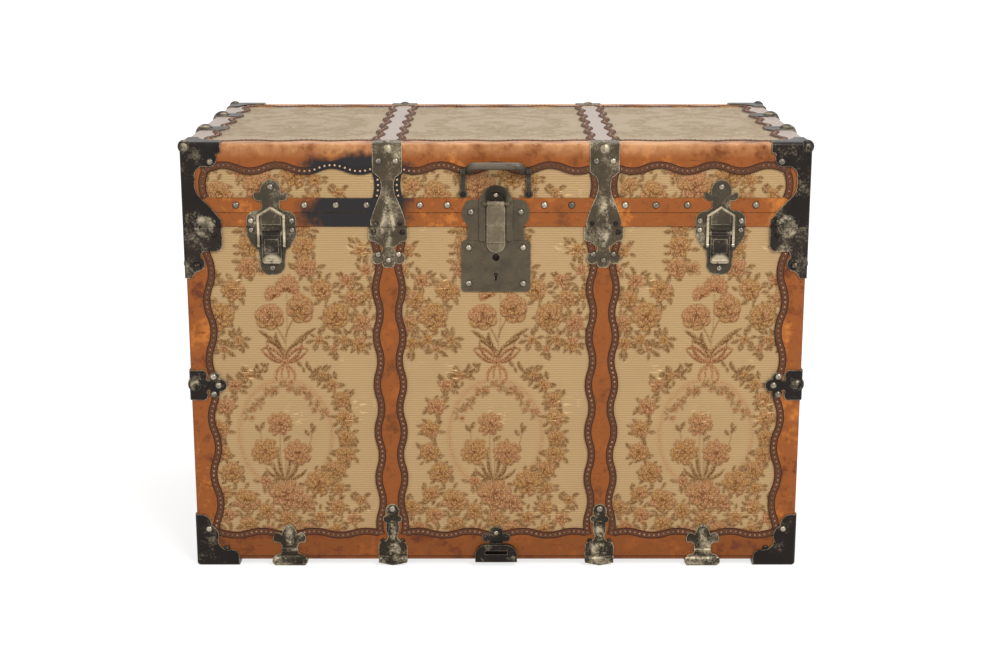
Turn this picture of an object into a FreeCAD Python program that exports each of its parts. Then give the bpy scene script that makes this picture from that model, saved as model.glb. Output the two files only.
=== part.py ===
"""Flat-top steamer trunk: tapestry over boards, wavy leather bindings and straps, stamped steel hardware.

Millimetres, +Z up, origin on the floor under the middle of the trunk, front towards -Y.
"""
import FreeCAD
import Part
import math
import os
from collections import namedtuple
from FreeCAD import Vector

# Trunk, measured over its leather
trunk_width = 914.0
trunk_depth = 512.0
leather_height = 641.0
lid_height = 122.0
foot_lift = 9.4
parting_gap = 0.6

# Layers from the inside out
board = 10.0
lining = 0.6
cloth = 1.0
leather = 2.0
plate = 1.5

# Cuts and fits
overrun = 5.0
near = 0.01
pin_clearance = 0.05
running_gap = 0.3
side_gap = 0.4

# Dust lip round the body's rim
lip_thickness = 6.0
lip_below = 25.0
lip_above = 12.0
lip_gap = 1.0

# Leather bands and their wavy edges
lid_band = 41.0
lid_top_band = 40.0
corner_band = 38.5
base_band = 48.0
base_under = 30.0
band_wave = 4.4
base_wave = 3.2
lid_wave_period = 78.0
corner_wave_period = 94.0
binding_round = 3.5
valance_lower = 20.0
valance_seam = 0.8
valance_upper = 21.0

# Straps
strap_place_share = 0.173
strap_width = 44.0
strap_wave = 3.0
strap_wave_period = 76.0

# Corner caps and brackets
cap_plate = 2.4
cap_round = 5.5
cap_reach = 57.0
knee_reach = 55.0
knee_height = 77.0
elbow_reach = 54.0
elbow_height = 46.0
elbow_drop_share = 0.464
foot_cap_reach = 63.0
foot_cap_height = 83.0

# Clamps on the straps and the edges
dowel_width = 51.0
dowel_cap = 43.0
dowel_top_reach = 32.0
socket_width = 57.0
socket_height = 60.0
strap_foot_width = 44.0
strap_foot_height = 100.0
fleur_place_share = 0.346
fleur_width = 54.0
fleur_height = 68.0
clamp_under = 26.0
foot_roll = 17.0
foot_roll_rise = 3.5
edge_clamp_width = 40.0
edge_clamp_height = 44.0
edge_clamp_share = 1 / 3

# Swellings pressed into the stamped pieces
swell_rise = 4.0
corner_swell = 36.0
corner_swell_inset = 31.0
bell_width = 26.0
bell_length = 44.0
socket_swell_length = 29.0
tip_width = 9.0
tip_rise = 1.0
cap_knob = 20.0
cap_knob_rise = 3.0
elbow_knob = 25.0
elbow_knob_rise = 3.5
clamp_knob = 32.0
clamp_knob_rise = 6.0
foot_dome = 29.0
foot_dome_rise = 3.0
foot_dome_above = 25.0
neck_width = 13.0
neck_rise = 3.0
petal_width = 12.0
petal_rise = 3.0
collar_width = 25.0
collar_thickness = 5.0
collar_rise = 1.8
dowel_knob = 24.0
dowel_knob_rise = 3.0

# Strap loop at the bottom of the front
loop_width = 64.0
loop_height = 54.0
loop_hollow = 5.0
loop_wall = 2.0
loop_slot_width = 34.0
loop_slot_height = 6.0
loop_slot_above = 11.0

# Lock
lock_width = 102.0
lock_height = 77.0
lock_drop = 20.4
lock_thickness = 2.5
lock_corner = 6.0
button_hole = 11.0
button_drop = 46.0
key_drop = 72.0
key_round = 6.0
key_slot_width = 2.6
key_slot_length = 9.0
key_post = 2.2
case_inset = 1.5
case_width = 62.0
case_height = 66.0
case_wall = 1.2
case_depth = 9.7
mortise_gap = 0.3
bolt_height = 5.0
bolt_thickness = 2.5
bolt_length = 22.0
bolt_throw = 9.0
bolt_gap = 0.15
staple_drop = 30.0
staple_width = 6.0
staple_height = 11.0
staple_window = 5.8
staple_wall = 1.2
staple_slot_width = 9.0
staple_slot_height = 15.5

# Hasp and the plate that carries it
hasp_plate_width = 99.0
hasp_plate_top = 40.5
hasp_plate_hang = 19.6
hood_width = 48.0
hood_rim = 8.5
hood_rise = 4.0
hood_centre = 37.5
hasp_width = 27.0
hasp_thickness = 3.0
hasp_hang = 22.0
hasp_pivot = 35.0
hasp_pin = 4.0
hasp_barrel = 8.0
hasp_barrel_length = 24.0
hasp_stand = 0.7
tongue_thickness = 2.7
tongue_drop = 38.0
lug_thickness = 5.5

# Draw latches
latch_place_share = 0.36
latch_width = 73.0
latch_base_height = 71.0
keeper_height = 70.0
lever_width = 28.0
lever_pivot_drop = 9.0
lever_length = 45.0
lever_thickness = 2.0
lever_panel_rise = 0.8
lever_lip = 4.4
latch_pin = 3.2
latch_barrel = 6.4
latch_lug = 2.0
latch_lug_width = 7.0
barrel_lift = 0.9
bail_pivot_drop = 27.0
bail_width = 41.2
bail_arm = 3.4
bail_thickness = 3.0
bail_shoulder = 18.0
bail_apex = 31.0
bail_eye = 6.4
bail_trunnion = 3.0
catch_width = 29.0
catch_foot = 4.0
catch_rise = 4.1

# Stop hinges on the back
hinge_place_share = 0.346
hinge_width = 50.0
hinge_plate = 2.0
hinge_leaf_height = 46.0
hinge_knuckle = 6.8
hinge_pin = 3.4
hinge_middle = 16.0
hinge_neck = 4.2
hinge_stop_reach = 10.0
hinge_stop_thickness = 3.0
hinge_stop_angle = 3.0

# Handle on the front of the lid
handle_post_place = 48.0
handle_post_width = 7.0
handle_pivot = 82.0
handle_stand = 3.0
handle_eye = 9.0
handle_trunnion = 4.6
handle_grip = 11.0
handle_rise = 10.0
handle_forward = 11.0
handle_corner = 9.0
post_foot = 12.0

# Leather handles on the ends
end_handle_drop_share = 0.289
end_handle_span = 200.0
end_handle_width = 28.0
end_handle_thickness = 7.0
end_handle_stand = 26.0
end_handle_tail = 34.0
end_cap_width = 44.0
end_cap_wall = 2.0

# Sizes that follow from these
skin = cloth + leather
box_width = trunk_width - 2 * skin
box_depth = trunk_depth - 2 * skin
floor_z = foot_lift + leather
parting_z = foot_lift + leather_height - lid_height
top_z = foot_lift + leather_height - skin
rim = parting_gap / 2
ground_v = -parting_z
base_v = foot_lift - parting_z
board_base_v = floor_z - parting_z
lid_board_v = lid_height - skin
valance_top = rim + valance_lower + valance_seam + valance_upper
metal = skin + plate
inner_width = box_width - 2 * board
inner_depth = box_depth - 2 * board
body_height = leather_height - lid_height
strap_place = trunk_width * strap_place_share
fleur_place = trunk_width * fleur_place_share
latch_place = trunk_width * latch_place_share
hinge_place = trunk_width * hinge_place_share
elbow_drop = body_height * elbow_drop_share
end_handle_drop = body_height * end_handle_drop_share
hinge_out = skin + hinge_knuckle / 2 + side_gap
cap_metal = skin + cap_plate

# Sides of the box: wall, roof and sole axes, and half the board's width
X, Y, Z = Vector(1, 0, 0), Vector(0, 1, 0), Vector(0, 0, 1)
Side = namedtuple("Side", "wall roof sole half")


def axes(origin, across, up, out):
    """A placement whose own x, y and z run along across, up and out."""
    return FreeCAD.Placement(origin, FreeCAD.Rotation(across, up, out, "XYZ"))


def side(across, out, half, reach):
    """One wall of the trunk, with the axes of its face, the roof above it and the sole below it."""
    foot = out * reach
    return Side(
        axes(foot + Z * parting_z, across, Z, out),
        axes(foot + Z * top_z, across, out * -1, Z),
        axes(foot + Z * floor_z, across, out, Z * -1),
        half,
    )


front = side(X, Y * -1, box_width / 2, box_depth / 2)
right = side(Y, X, box_depth / 2, box_width / 2)
back = side(X * -1, Y, box_width / 2, box_depth / 2)
left = side(Y * -1, X * -1, box_depth / 2, box_width / 2)
ring = [front, right, back, left]
corners = [(ring[i], ring[(i + 1) % len(ring)]) for i in range(len(ring))]

# Outlines as shares of a piece's reach and height, each from its lower edge upwards
cap_wall_shares = [
    (0.97, 0),
    (0.97, 0.08),
    ((0.72, 0.22), (0.47, 0.34)),
    ((0.33, 0.45), (0.34, 0.57)),
    ((0.44, 0.70), (0.64, 0.71)),
    ((0.86, 0.75), (0.88, 0.86)),
    (1, 0.88),
    (1, 1),
]
cap_top_shares = [(1, 0), (1, 0.3), ((0.52, 0.52), (0.3, 1)), (0, 1)]
knee_shares = [
    (0, -1),
    (0.17, -1),
    ((0.22, -0.92), (0.33, -0.86)),
    ((0.51, -0.76), (0.44, -0.6)),
    ((0.46, -0.5), (0.62, -0.475)),
    (0.78, -0.47),
    ((0.94, -0.44), (1, -0.31)),
    (1, 0),
]
elbow_half_shares = [
    (0, -0.5),
    (0.28, -0.5),
    ((0.44, -0.44), (0.45, -0.26)),
    ((0.47, -0.17), (0.53, -0.17)),
    ((0.66, -0.43), (0.8, -0.2)),
]
foot_cap_shares = [
    (1, 0),
    (1, 0.17),
    ((0.93, 0.29), (0.78, 0.31)),
    ((0.58, 0.36), (0.5, 0.5)),
    ((0.48, 0.7), (0.36, 0.78)),
    ((0.3, 0.93), (0.13, 1)),
    (0, 1),
]
foot_cap_sole_shares = [(1, 0), (1, 0.4), ((0.62, 0.62), (0.4, 1)), (0, 1)]
dowel_shares = [
    (0.5, 0),
    (0.5, 0.07),
    ((0.38, 0.22), (0.22, 0.38)),
    ((0.18, 0.48), (0.22, 0.59)),
]
socket_shares = [
    (0, -1),
    ((0.14, -0.97), (0.16, -0.86)),
    ((0.42, -0.84), (0.24, -0.64)),
    ((0.16, -0.58), (0.16, -0.5)),
    (0.36, -0.35),
    ((0.47, -0.33), (0.5, -0.22)),
    (0.5, 0),
]
strap_foot_shares = [
    (0, 0),
    (0.12, 0.01),
    (0.5, 0.06),
    (0.5, 0.31),
    ((0.42, 0.38), (0.26, 0.4)),
    ((0.18, 0.44), (0.19, 0.52)),
    ((0.23, 0.6), (0.21, 0.7)),
    ((0.33, 0.75), (0.19, 0.81)),
    ((0.17, 0.96), (0, 1)),
]
fleur_shares = [
    (0.43, 0),
    (0.5, 0.09),
    (0.5, 0.16),
    ((0.4, 0.25), (0.27, 0.28)),
    ((0.22, 0.37), (0.23, 0.46)),
    ((0.3, 0.55), (0.42, 0.55)),
    ((0.46, 0.68), (0.36, 0.79)),
    ((0.28, 0.775), (0.22, 0.73)),
    ((0.15, 0.88), (0, 1)),
]
loop_shares = [
    (0.5, 0),
    (0.5, 0.12),
    ((0.44, 0.4), (0.26, 0.52)),
    ((0.16, 0.56), (0.16, 0.6)),
    ((0.34, 0.7), (0.16, 0.8)),
    ((0.12, 0.97), (0, 1)),
]
loop_bulge_shares = [(0.5, 0), (0.5, 0.12), ((0.44, 0.4), (0.26, 0.52))]
clamp_sole_shares = [(0.5, 0), (0.5, 0.55), ((0.36, 0.92), (0, 1))]
edge_clamp_shares = [
    (0, -1),
    ((0.22, -0.96), (0.2, -0.72)),
    ((0.5, -0.62), (0.42, -0.4)),
    ((0.46, -0.32), (0.5, -0.3)),
    (0.5, 0),
]
latch_base_shares = [
    (0, -1),
    ((0.2, -0.94), (0.25, -0.74)),
    (0.28, -0.5),
    ((0.44, -0.3), (0.5, -0.16)),
    (0.5, 0),
]
keeper_shares = [
    (0.5, 0),
    (0.5, 0.13),
    ((0.44, 0.28), (0.28, 0.33)),
    (0.18, 0.39),
    (0.18, 0.56),
    ((0.33, 0.6), (0.31, 0.74)),
    (0.2, 0.68),
    ((0.17, 0.88), (0, 1)),
]
hasp_plate_shares = [
    (0.43, -0.48),
    ((0.41, -0.2), (0.42, 0.05)),
    ((0.5, 0.5), (0.44, 0.92)),
    (0.37, 1),
    (0.242, 1),
]
lever_shares = [(0.3, -1), ((0.46, -0.97), (0.5, -0.86)), (0.5, 0)]
lever_panel_shares = [(0.36, -0.66), (0.36, -0.2)]
lever_lip_share = 0.84
neck_shares = [0.42, 0.53, 0.72]
petal_shares = [0.5, 0.63, 0.95]
collar_share = 0.38


def ends_of(steps):
    """The end point of each step of an outline: a step is a point, or an arc as (through, end)."""
    return [step[1] if isinstance(step[0], tuple) else step for step in steps]


def changed(steps, change):
    """Steps with every point put through change."""
    return [tuple(map(change, s)) if isinstance(s[0], tuple) else change(s) for s in steps]


def sized(shares, width, height):
    """Steps from an outline's shares of a width and a height."""
    return changed(shares, lambda p: (p[0] * width, p[1] * height))


def moved(steps, across, up):
    """Steps moved across and up."""
    return changed(steps, lambda p: (p[0] + across, p[1] + up))


def back_along(steps):
    """The steps that run from an outline's last point back to its first."""
    ends = ends_of(steps)
    turned = []
    for step, before in zip(reversed(steps[1:]), reversed(ends[:-1])):
        turned.append((step[0], before) if isinstance(step[0], tuple) else before)
    return turned


def both_halves(half):
    """A closed outline from its right half, given upwards, and the same half mirrored."""
    flipped = changed(half, lambda p: (-p[0], p[1]))
    return half + [ends_of(flipped)[-1]] + back_along(flipped)


def wire(steps):
    """A closed wire along the steps."""
    edges = []
    last = Vector(*ends_of(steps)[0], 0)
    first = last
    for step, end in zip(steps[1:], ends_of(steps)[1:]):
        end = Vector(*end, 0)
        if isinstance(step[0], tuple):
            edges.append(Part.Arc(last, Vector(*step[0], 0), end).toShape())
        elif end.distanceToPoint(last) > near:
            edges.append(Part.LineSegment(last, end).toShape())
        last = end
    if last.distanceToPoint(first) > near:
        edges.append(Part.LineSegment(last, first).toShape())
    return Part.Wire(edges)


def placed(axis, shape):
    """A shape drawn in some axes, put where those axes are."""
    shape.Placement = axis.multiply(shape.Placement)
    return shape


def prism(axis, steps, low, high):
    """An outline drawn on a face, as a solid between two heights off that face."""
    solid = Part.Face(wire(steps)).extrude(Z * (high - low))
    solid.translate(Z * low)
    return placed(axis, solid)


def rectangle(left_edge, right_edge, bottom, top):
    """The outline of a rectangle."""
    return [(left_edge, bottom), (right_edge, bottom), (right_edge, top), (left_edge, top)]


def rounded(half_width, bottom, top, corner):
    """The outline of a rectangle with rounded corners, standing about the middle line."""
    bend = corner * (1 - math.sqrt(0.5))
    half = [
        (half_width - corner, bottom),
        ((half_width - bend, bottom + bend), (half_width, bottom + corner)),
        (half_width, top - corner),
        ((half_width - bend, top - bend), (half_width - corner, top)),
    ]
    return both_halves(half)


def disc(axis, across, up, diameter, low, high):
    """A round boss, or the tool for a hole, standing on a face."""
    return placed(axis, Part.makeCylinder(diameter / 2, high - low, Vector(across, up, low), Z))


def rod(axis, start, end, up, out, diameter):
    """A round rod lying across a face from start to end."""
    return placed(axis, Part.makeCylinder(diameter / 2, end - start, Vector(start, up, out), X))


def block(low, high):
    """A box between two opposite corners."""
    size = high - low
    return Part.makeBox(size.x, size.y, size.z, low)


def joined(shapes):
    """One solid from shapes that meet."""
    whole = shapes[0].fuse(shapes[1:]) if len(shapes) > 1 else shapes[0]
    return whole.removeSplitter()


def softened(shape, radius, on_edge):
    """The shape with the edges that lie on a chosen corner rounded over."""
    edges = [e for e in shape.Edges if all(on_edge(v.Point) for v in e.Vertexes)]
    return shape.makeFillet(radius, edges)


def wave(start, end, swell, period, first):
    """Arcs along a line from start to end, swelling to one side and the other in turn."""
    ax, ay = end[0] - start[0], end[1] - start[1]
    length = math.hypot(ax, ay)
    count = max(1, round(2 * length / period))
    nx, ny = -ay / length * swell * first, ax / length * swell * first

    def along(share):
        return start[0] + ax * share, start[1] + ay * share

    steps = [start]
    for i in range(count):
        middle = along((i + 0.5) / count)
        turn = 1 - 2 * (i % 2)
        steps.append(((middle[0] + nx * turn, middle[1] + ny * turn), along((i + 1) / count)))
    return steps


def beside(half, sign, steps):
    """Steps given as distance in from a wall's end and height, turned into places on that wall."""
    return changed(steps, lambda p: (sign * (half + skin - p[0]), p[1]))


def corner_place(a):
    """The signs of x and y at the corner where a wall ends."""
    point = a.wall.multVec(Vector(a.half, 0, 0))
    return math.copysign(1, point.x), math.copysign(1, point.y)


def on_lines(width, depth, level):
    """A test for points on the outer edges of a box: two of its three faces at once."""

    def test(p):
        hits = [abs(abs(p.x) - width / 2), abs(abs(p.y) - depth / 2), abs(p.z - level)]
        return sum(h < near for h in hits) > 1

    return test


# Boards
def wall_board(wall, width, bottom, top):
    return prism(wall.wall, rectangle(-width / 2, width / 2, bottom, top), -board, 0)


def mortise(gap, low, high):
    """The lock's recess, wider than its case by a gap."""
    top = gap - lock_drop - case_inset
    bottom = top - case_height - 2 * gap
    across = case_width / 2 + gap
    return prism(front.wall, rectangle(-across, across, bottom, top), low, high)


def body_boards():
    top = -rim
    deep = cloth - case_depth - mortise_gap
    recess = mortise(mortise_gap, deep, overrun)
    return {
        "front_board": wall_board(front, box_width, board_base_v, top).cut(recess),
        "back_board": wall_board(back, box_width, board_base_v, top),
        "left_end_board": wall_board(left, inner_depth, board_base_v, top),
        "right_end_board": wall_board(right, inner_depth, board_base_v, top),
        "bottom_board": block(
            Vector(-inner_width / 2, -inner_depth / 2, floor_z),
            Vector(inner_width / 2, inner_depth / 2, floor_z + board),
        ),
    }


def lid_boards():
    top = lid_board_v - board
    rails = [wall_board(s, w, rim, top) for s, w in zip(ring, [box_width, inner_depth] * 2)]
    return {
        "lid_top_board": block(
            Vector(-box_width / 2, -box_depth / 2, top_z - board),
            Vector(box_width / 2, box_depth / 2, top_z),
        ),
        "lid_front_rail": rails[0],
        "lid_right_rail": rails[1],
        "lid_back_rail": rails[2],
        "lid_left_rail": rails[3],
    }


def inner_box(bottom, top, inset):
    """A block that fills the trunk's inside between two heights, drawn in from its walls."""
    half = Vector(inner_width / 2 - inset, inner_depth / 2 - inset, 0)
    return block(Z * bottom - half, Z * top + half)


def linings():
    bottom, top = floor_z + board, parting_z - lip_below
    roof, low = top_z - board, parting_z + lip_above + lip_gap
    return {
        "body_lining": inner_box(bottom, top, 0).cut(inner_box(bottom + lining, top + overrun, lining)),
        "lid_lining": inner_box(low, roof, 0).cut(inner_box(low - overrun, roof - lining, lining)),
    }


def dust_lip():
    lower = inner_box(parting_z - lip_below, parting_z - rim, 0)
    upper = inner_box(parting_z - rim, parting_z + lip_above, lip_gap)
    hollow = inner_box(parting_z - lip_below - overrun, parting_z + lip_above + overrun, lip_thickness)
    return {"dust_lip": joined([lower, upper]).cut(hollow)}


# Tapestry covers
def tapestries():
    sheets = {}
    for name, sides in {"front": [front], "back": [back], "end": [left, right]}.items():
        for part, bottom, top in (("body", board_base_v, -rim), ("lid", rim, lid_board_v)):
            sheets[part + "_" + name + "_tapestry"] = [
                prism(s.wall, rectangle(-s.half, s.half, bottom, top), 0, cloth) for s in sides
            ]
    front_sheet = sheets["body_front_tapestry"][0]
    sheets["body_front_tapestry"] = front_sheet.cut(mortise(mortise_gap, -overrun, overrun))
    sheets["lid_top_tapestry"] = prism(
        front.roof, rectangle(-box_width / 2, box_width / 2, 0, box_depth), 0, cloth
    )
    return sheets


# Leather
def end_flange(s, sign, bottom, top):
    """The flange of a corner binding on one wall, with its wavy inner edge."""
    edge = wave((corner_band, bottom), (corner_band, top), band_wave, corner_wave_period, 1)
    return prism(s.wall, beside(s.half, sign, [(0, bottom)] + edge + [(0, top)]), cloth, skin)


def corner_bindings(bottom, top):
    pieces = []
    for a, b in corners:
        angle = joined([end_flange(a, 1, bottom, top), end_flange(b, -1, bottom, top)])
        level = parting_z + top + overrun
        pieces.append(softened(angle, binding_round, on_lines(trunk_width, trunk_depth, level)))
    return pieces


def runs_through(s):
    """The bindings of the front and back run through to the corners, and the ends' stop between them."""
    return s in (front, back)


def long_edge(s):
    """Half the length of a binding along a wall."""
    return s.half + (skin if runs_through(s) else cloth)


def ends_between(pieces):
    """Bindings round the trunk, with those of its ends cut where the front and back ones run through."""
    through = pieces[::2]
    return [piece if i % 2 == 0 else piece.cut(through) for i, piece in enumerate(pieces)]


def lid_edge_bindings():
    pieces = []
    for s in ring:
        reach = long_edge(s)
        low, high = lid_height - lid_band, lid_height
        wall_edge = wave((reach, low), (-reach, low), band_wave, lid_wave_period, 1)
        wall = prism(s.wall, wall_edge + [(-reach, high), (reach, high)], cloth, skin)
        depth = lid_top_band - skin
        roof_edge = wave((reach, depth), (-reach, depth), band_wave, lid_wave_period, -1)
        roof = prism(s.roof, roof_edge + [(-reach, -skin), (reach, -skin)], cloth, skin)
        angle = joined([wall, roof])
        pieces.append(softened(angle, binding_round, edge_along(s, skin, parting_z + lid_height)))
    return ends_between(pieces)


def edge_along(s, out, level):
    """A test for points on the edge where a wall's outer face meets a level."""

    def test(p):
        return abs(s.wall.inverse().multVec(p).z - out) < near and abs(p.z - level) < near

    return test


def base_bindings():
    pieces = []
    for s in ring:
        reach = long_edge(s)
        top = base_v + base_band
        wall_edge = wave((reach, top), (-reach, top), base_wave, lid_wave_period, -1)
        wall = prism(s.wall, wall_edge + [(-reach, base_v), (reach, base_v)], cloth, skin)
        under_reach = reach if runs_through(s) else s.half + skin - base_under
        sole = prism(s.sole, rectangle(-under_reach, under_reach, skin - base_under, skin), 0, leather)
        angle = joined([wall, sole])
        pieces.append(softened(angle, binding_round, edge_along(s, skin, foot_lift)))
    return ends_between(pieces)


def valance():
    upper_low = rim + valance_lower + valance_seam
    rows = []
    for low, high in [(rim, rim + valance_lower), (upper_low, upper_low + valance_upper)]:
        rows.append(
            [
                prism(s.wall, rectangle(-long_edge(s), long_edge(s), low, high), cloth, skin)
                for s in ring
            ]
        )
    return rows


def strap(axis, place, bottom, top, low, high):
    """A leather strap with edges that swell and draw in together."""
    half = strap_width / 2
    right_edge = wave((place + half, bottom), (place + half, top), strap_wave, strap_wave_period, 1)
    left_edge = wave((place - half, top), (place - half, bottom), strap_wave, strap_wave_period, 1)
    count = round(2 * (top - bottom) / strap_wave_period)
    if count % 2 == 0:
        left_edge = wave((place - half, top), (place - half, bottom), strap_wave, strap_wave_period, -1)
    return prism(axis, right_edge + left_edge, low, high)


def straps(base, edges):
    """Straps down the front and back of the body, and over the lid, stopping at the bindings they meet."""
    places = [-strap_place, strap_place]

    def body(s):
        return [strap(s.wall, x, board_base_v, -rim, cloth, skin).cut(base) for x in places]

    lid = []
    for x in places:
        for s in (front, back):
            lid.append(strap(s.wall, x, valance_top, lid_board_v, cloth, skin))
        lid.append(strap(front.roof, x, 0, box_depth, cloth, skin))
    return {
        "body_straps": body(front) + body(back),
        "lid_straps": [piece.cut(edges) for piece in lid],
    }


def leather_pieces():
    base = base_bindings()
    edges = lid_edge_bindings()
    body_corners = [piece.cut(base) for piece in corner_bindings(base_v + base_band / 2, -rim)]
    lid_corners = [piece.cut(edges) for piece in corner_bindings(valance_top, lid_board_v)]
    lower, upper = valance()
    pieces = {
        "base_bindings": base,
        "body_corner_bindings": body_corners,
        "lid_edge_bindings": edges,
        "lid_corner_bindings": lid_corners,
        "valance_lower_strips": lower,
        "valance_upper_strips": upper,
    }
    pieces.update(straps(base, edges))
    return pieces


# Stamped corners
def corner_walls(a, b, steps):
    """The two wall flanges of a corner piece, from steps given as distance in and height."""
    steps = [(-cap_plate, ends_of(steps)[0][1])] + steps + [(-cap_plate, ends_of(steps)[-1][1])]
    return [
        prism(a.wall, beside(a.half, 1, steps), skin, cap_metal),
        prism(b.wall, beside(b.half, -1, steps), skin, cap_metal),
    ]


def corner_flat(a, z, thickness, steps):
    """The level flange of a corner piece, from steps given as distances in along x and y."""
    sx, sy = corner_place(a)
    ends = ends_of(steps)
    lead = [(-cap_plate, -cap_plate), (ends[0][0], -cap_plate)]
    steps = lead + steps + [(-cap_plate, ends[-1][1])]

    def outward(p):
        return sx * (box_width / 2 + skin - p[0]), sy * (box_depth / 2 + skin - p[1])

    solid = Part.Face(wire(changed(steps, outward))).extrude(Z * thickness)
    solid.translate(Z * z)
    return solid


def wall_rise(s, face):
    """How far a swelling stands proud of a face: on the back it stays in front of the hinge pins."""
    return hinge_out - running_gap - face if s is back else swell_rise


def dome(axis, across, up, face, diameter, rise):
    """A round swelling pressed into a plate whose face stands at a height off the wall."""
    radius = (diameter ** 2 / 4 + rise ** 2) / (2 * rise)
    ball = Part.makeSphere(radius, Vector(across, up, face + rise - radius))
    return placed(axis, ball).common(disc(axis, across, up, diameter, face, face + rise))


def corner_swells(a, b, bottom, top):
    """The halves, between two heights, of the domes that a corner has at the parting line."""
    swells = []
    for s, sign in ((a, 1), (b, -1)):
        across = sign * (s.half + skin - corner_swell_inset)
        window = rectangle(across - corner_swell, across + corner_swell, bottom, top)
        whole = dome(s.wall, across, 0, cap_metal, corner_swell, wall_rise(s, cap_metal))
        swells.append(whole.common(prism(s.wall, window, cap_metal, cap_metal + corner_swell)))
    return swells


def outside(shape):
    """What of a shape lies outside the trunk's leather."""
    half = Vector(trunk_width / 2, trunk_depth / 2, 0)
    return shape.cut(block(Z * foot_lift - half, Z * (parting_z + lid_height) + half))


def knob(corner, inward, diameter, rise):
    """A ball pressed out of a corner or an edge, proud of the faces that meet there."""
    return outside(Part.makeSphere(diameter / 2, corner + inward * (diameter / 2 - rise)))


def corner_point(a, z):
    """The outer corner of the metal at a height, and the way in from it."""
    sx, sy = corner_place(a)
    outer = Vector(sx * (trunk_width / 2 + cap_plate), sy * (trunk_depth / 2 + cap_plate), z)
    return outer, Vector(-sx, -sy, 0)


def folded(shell, level):
    """A corner piece with its folds rounded over."""
    width, depth = trunk_width + 2 * cap_plate, trunk_depth + 2 * cap_plate
    return softened(shell, cap_round, on_lines(width, depth, level))


def lid_corner_caps():
    wall_steps = moved(sized(cap_wall_shares, cap_reach, lid_height + cap_plate - rim), 0, rim)
    top_steps = sized(cap_top_shares, cap_reach, cap_reach)
    level = parting_z + lid_height + cap_plate
    pieces = []
    for a, b in corners:
        top = corner_flat(a, level - cap_plate, cap_plate, top_steps)
        shell = joined(corner_walls(a, b, wall_steps) + [top])
        outer, inward = corner_point(a, level)
        ball = knob(outer, inward - Z, cap_knob, cap_knob_rise)
        pieces.append(joined([folded(shell, level), ball] + corner_swells(a, b, rim, corner_swell)))
    return pieces


def knee_brackets():
    steps = moved(sized(knee_shares, knee_reach, knee_height), 0, -rim)
    return [
        joined([bent_corner(a, b, steps)] + corner_swells(a, b, -corner_swell, -rim)) for a, b in corners
    ]


def bent_corner(a, b, steps):
    """A bracket folded round a vertical corner."""
    return folded(joined(corner_walls(a, b, steps)), -overrun)


def corner_clamps():
    lower = sized(elbow_half_shares, elbow_reach, elbow_height)
    upper = changed(lower, lambda p: (p[0], -p[1]))
    tip = ((elbow_reach, 0), ends_of(upper)[-1])
    steps = moved(lower + [tip] + back_along(upper), 0, -elbow_drop)
    pieces = []
    for a, b in corners:
        ball = knob(*corner_point(a, parting_z - elbow_drop), elbow_knob, elbow_knob_rise)
        pieces.append(joined([bent_corner(a, b, steps), ball]))
    return pieces


def foot_caps():
    """Bottom corner caps, each with a thick sole that the trunk stands on."""
    wall_steps = moved(sized(foot_cap_shares, foot_cap_reach, foot_cap_height), 0, ground_v)
    sole_steps = sized(foot_cap_sole_shares, foot_cap_reach, foot_cap_reach)
    pieces = []
    for a, b in corners:
        sole = corner_flat(a, 0, foot_lift, sole_steps)
        pieces.append(folded(joined(corner_walls(a, b, wall_steps) + [sole]), 0))
    return pieces


# Clamps over the straps and edges
def bent_clamp(s, place, wall_steps, level_axis, level_steps, level):
    """A clamp folded over the edge between a wall and the roof or sole."""
    wall = prism(s.wall, moved(wall_steps, place, 0), skin, metal)
    flat = prism(level_axis, moved(level_steps, place, 0), level, level + plate)
    shell = joined([wall, flat])
    corner = top_z + level + plate if level_axis is s.roof else floor_z - level - plate
    return softened(shell, cap_round / 2, edge_along(s, metal, corner))


def section(place, up, width, rise):
    """The section of a long swelling, across a wall plate at a height on it."""
    half = width / 2
    steps = [(-half, metal), (half, metal), ((0, metal + rise), (-half, metal))]
    return placed(axes(Vector(place, up, 0), X, Z, Y * -1), wire(steps))


def taper(s, place, sections):
    """A long swelling pressed into a wall plate, through sections of (height, width, rise) from the top."""
    return placed(s.wall, Part.makeLoft([section(place, *each) for each in sections], True, True))


def roll(s, place, up, width, thickness, rise):
    """A rounded bar pressed across a wall plate."""
    half = width / 2
    bar = rod(s.wall, place - half, place + half, up, metal + rise - thickness / 2, thickness)
    window = rectangle(place - width, place + width, up - thickness, up + thickness)
    return bar.common(prism(s.wall, window, metal, metal + thickness))


def strap_dowels(s):
    """Clamps that run down the lid over each strap, from the roof to the parting line."""
    top = lid_height + plate
    neck = sized(dowel_shares, dowel_width, lid_height)
    shoulder = lid_height - lid_band
    cap = [(dowel_cap / 2, shoulder), (dowel_cap / 2, top)]
    wall_steps = both_halves(moved(neck, 0, rim) + cap)
    roof_half = sized(clamp_sole_shares, dowel_cap, dowel_top_reach)
    roof_steps = moved(both_halves(roof_half), 0, -metal)
    pieces = []
    for x in (-strap_place, strap_place):
        clamp = bent_clamp(s, x, wall_steps, s.roof, roof_steps, skin)
        tip = (rim + bell_length, tip_width, tip_rise)
        bell = taper(s, x, [tip, (rim, bell_width, wall_rise(s, metal))])
        edge = s.wall.multVec(Vector(x, top, metal))
        inward = s.wall.Rotation.multVec(Z) * -1 - Z
        pieces.append(joined([clamp, bell, knob(edge, inward, dowel_knob, dowel_knob_rise)]))
    return pieces


def strap_sockets(s):
    steps = moved(both_halves(sized(socket_shares, socket_width, socket_height)), 0, -rim)
    pieces = []
    for x in (-strap_place, strap_place):
        ears = prism(s.wall, moved(steps, x, 0), skin, metal)
        tip = (-rim - socket_swell_length, tip_width, tip_rise)
        pieces.append(joined([ears, taper(s, x, [(-rim, bell_width, wall_rise(s, metal)), tip])]))
    return pieces


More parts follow.
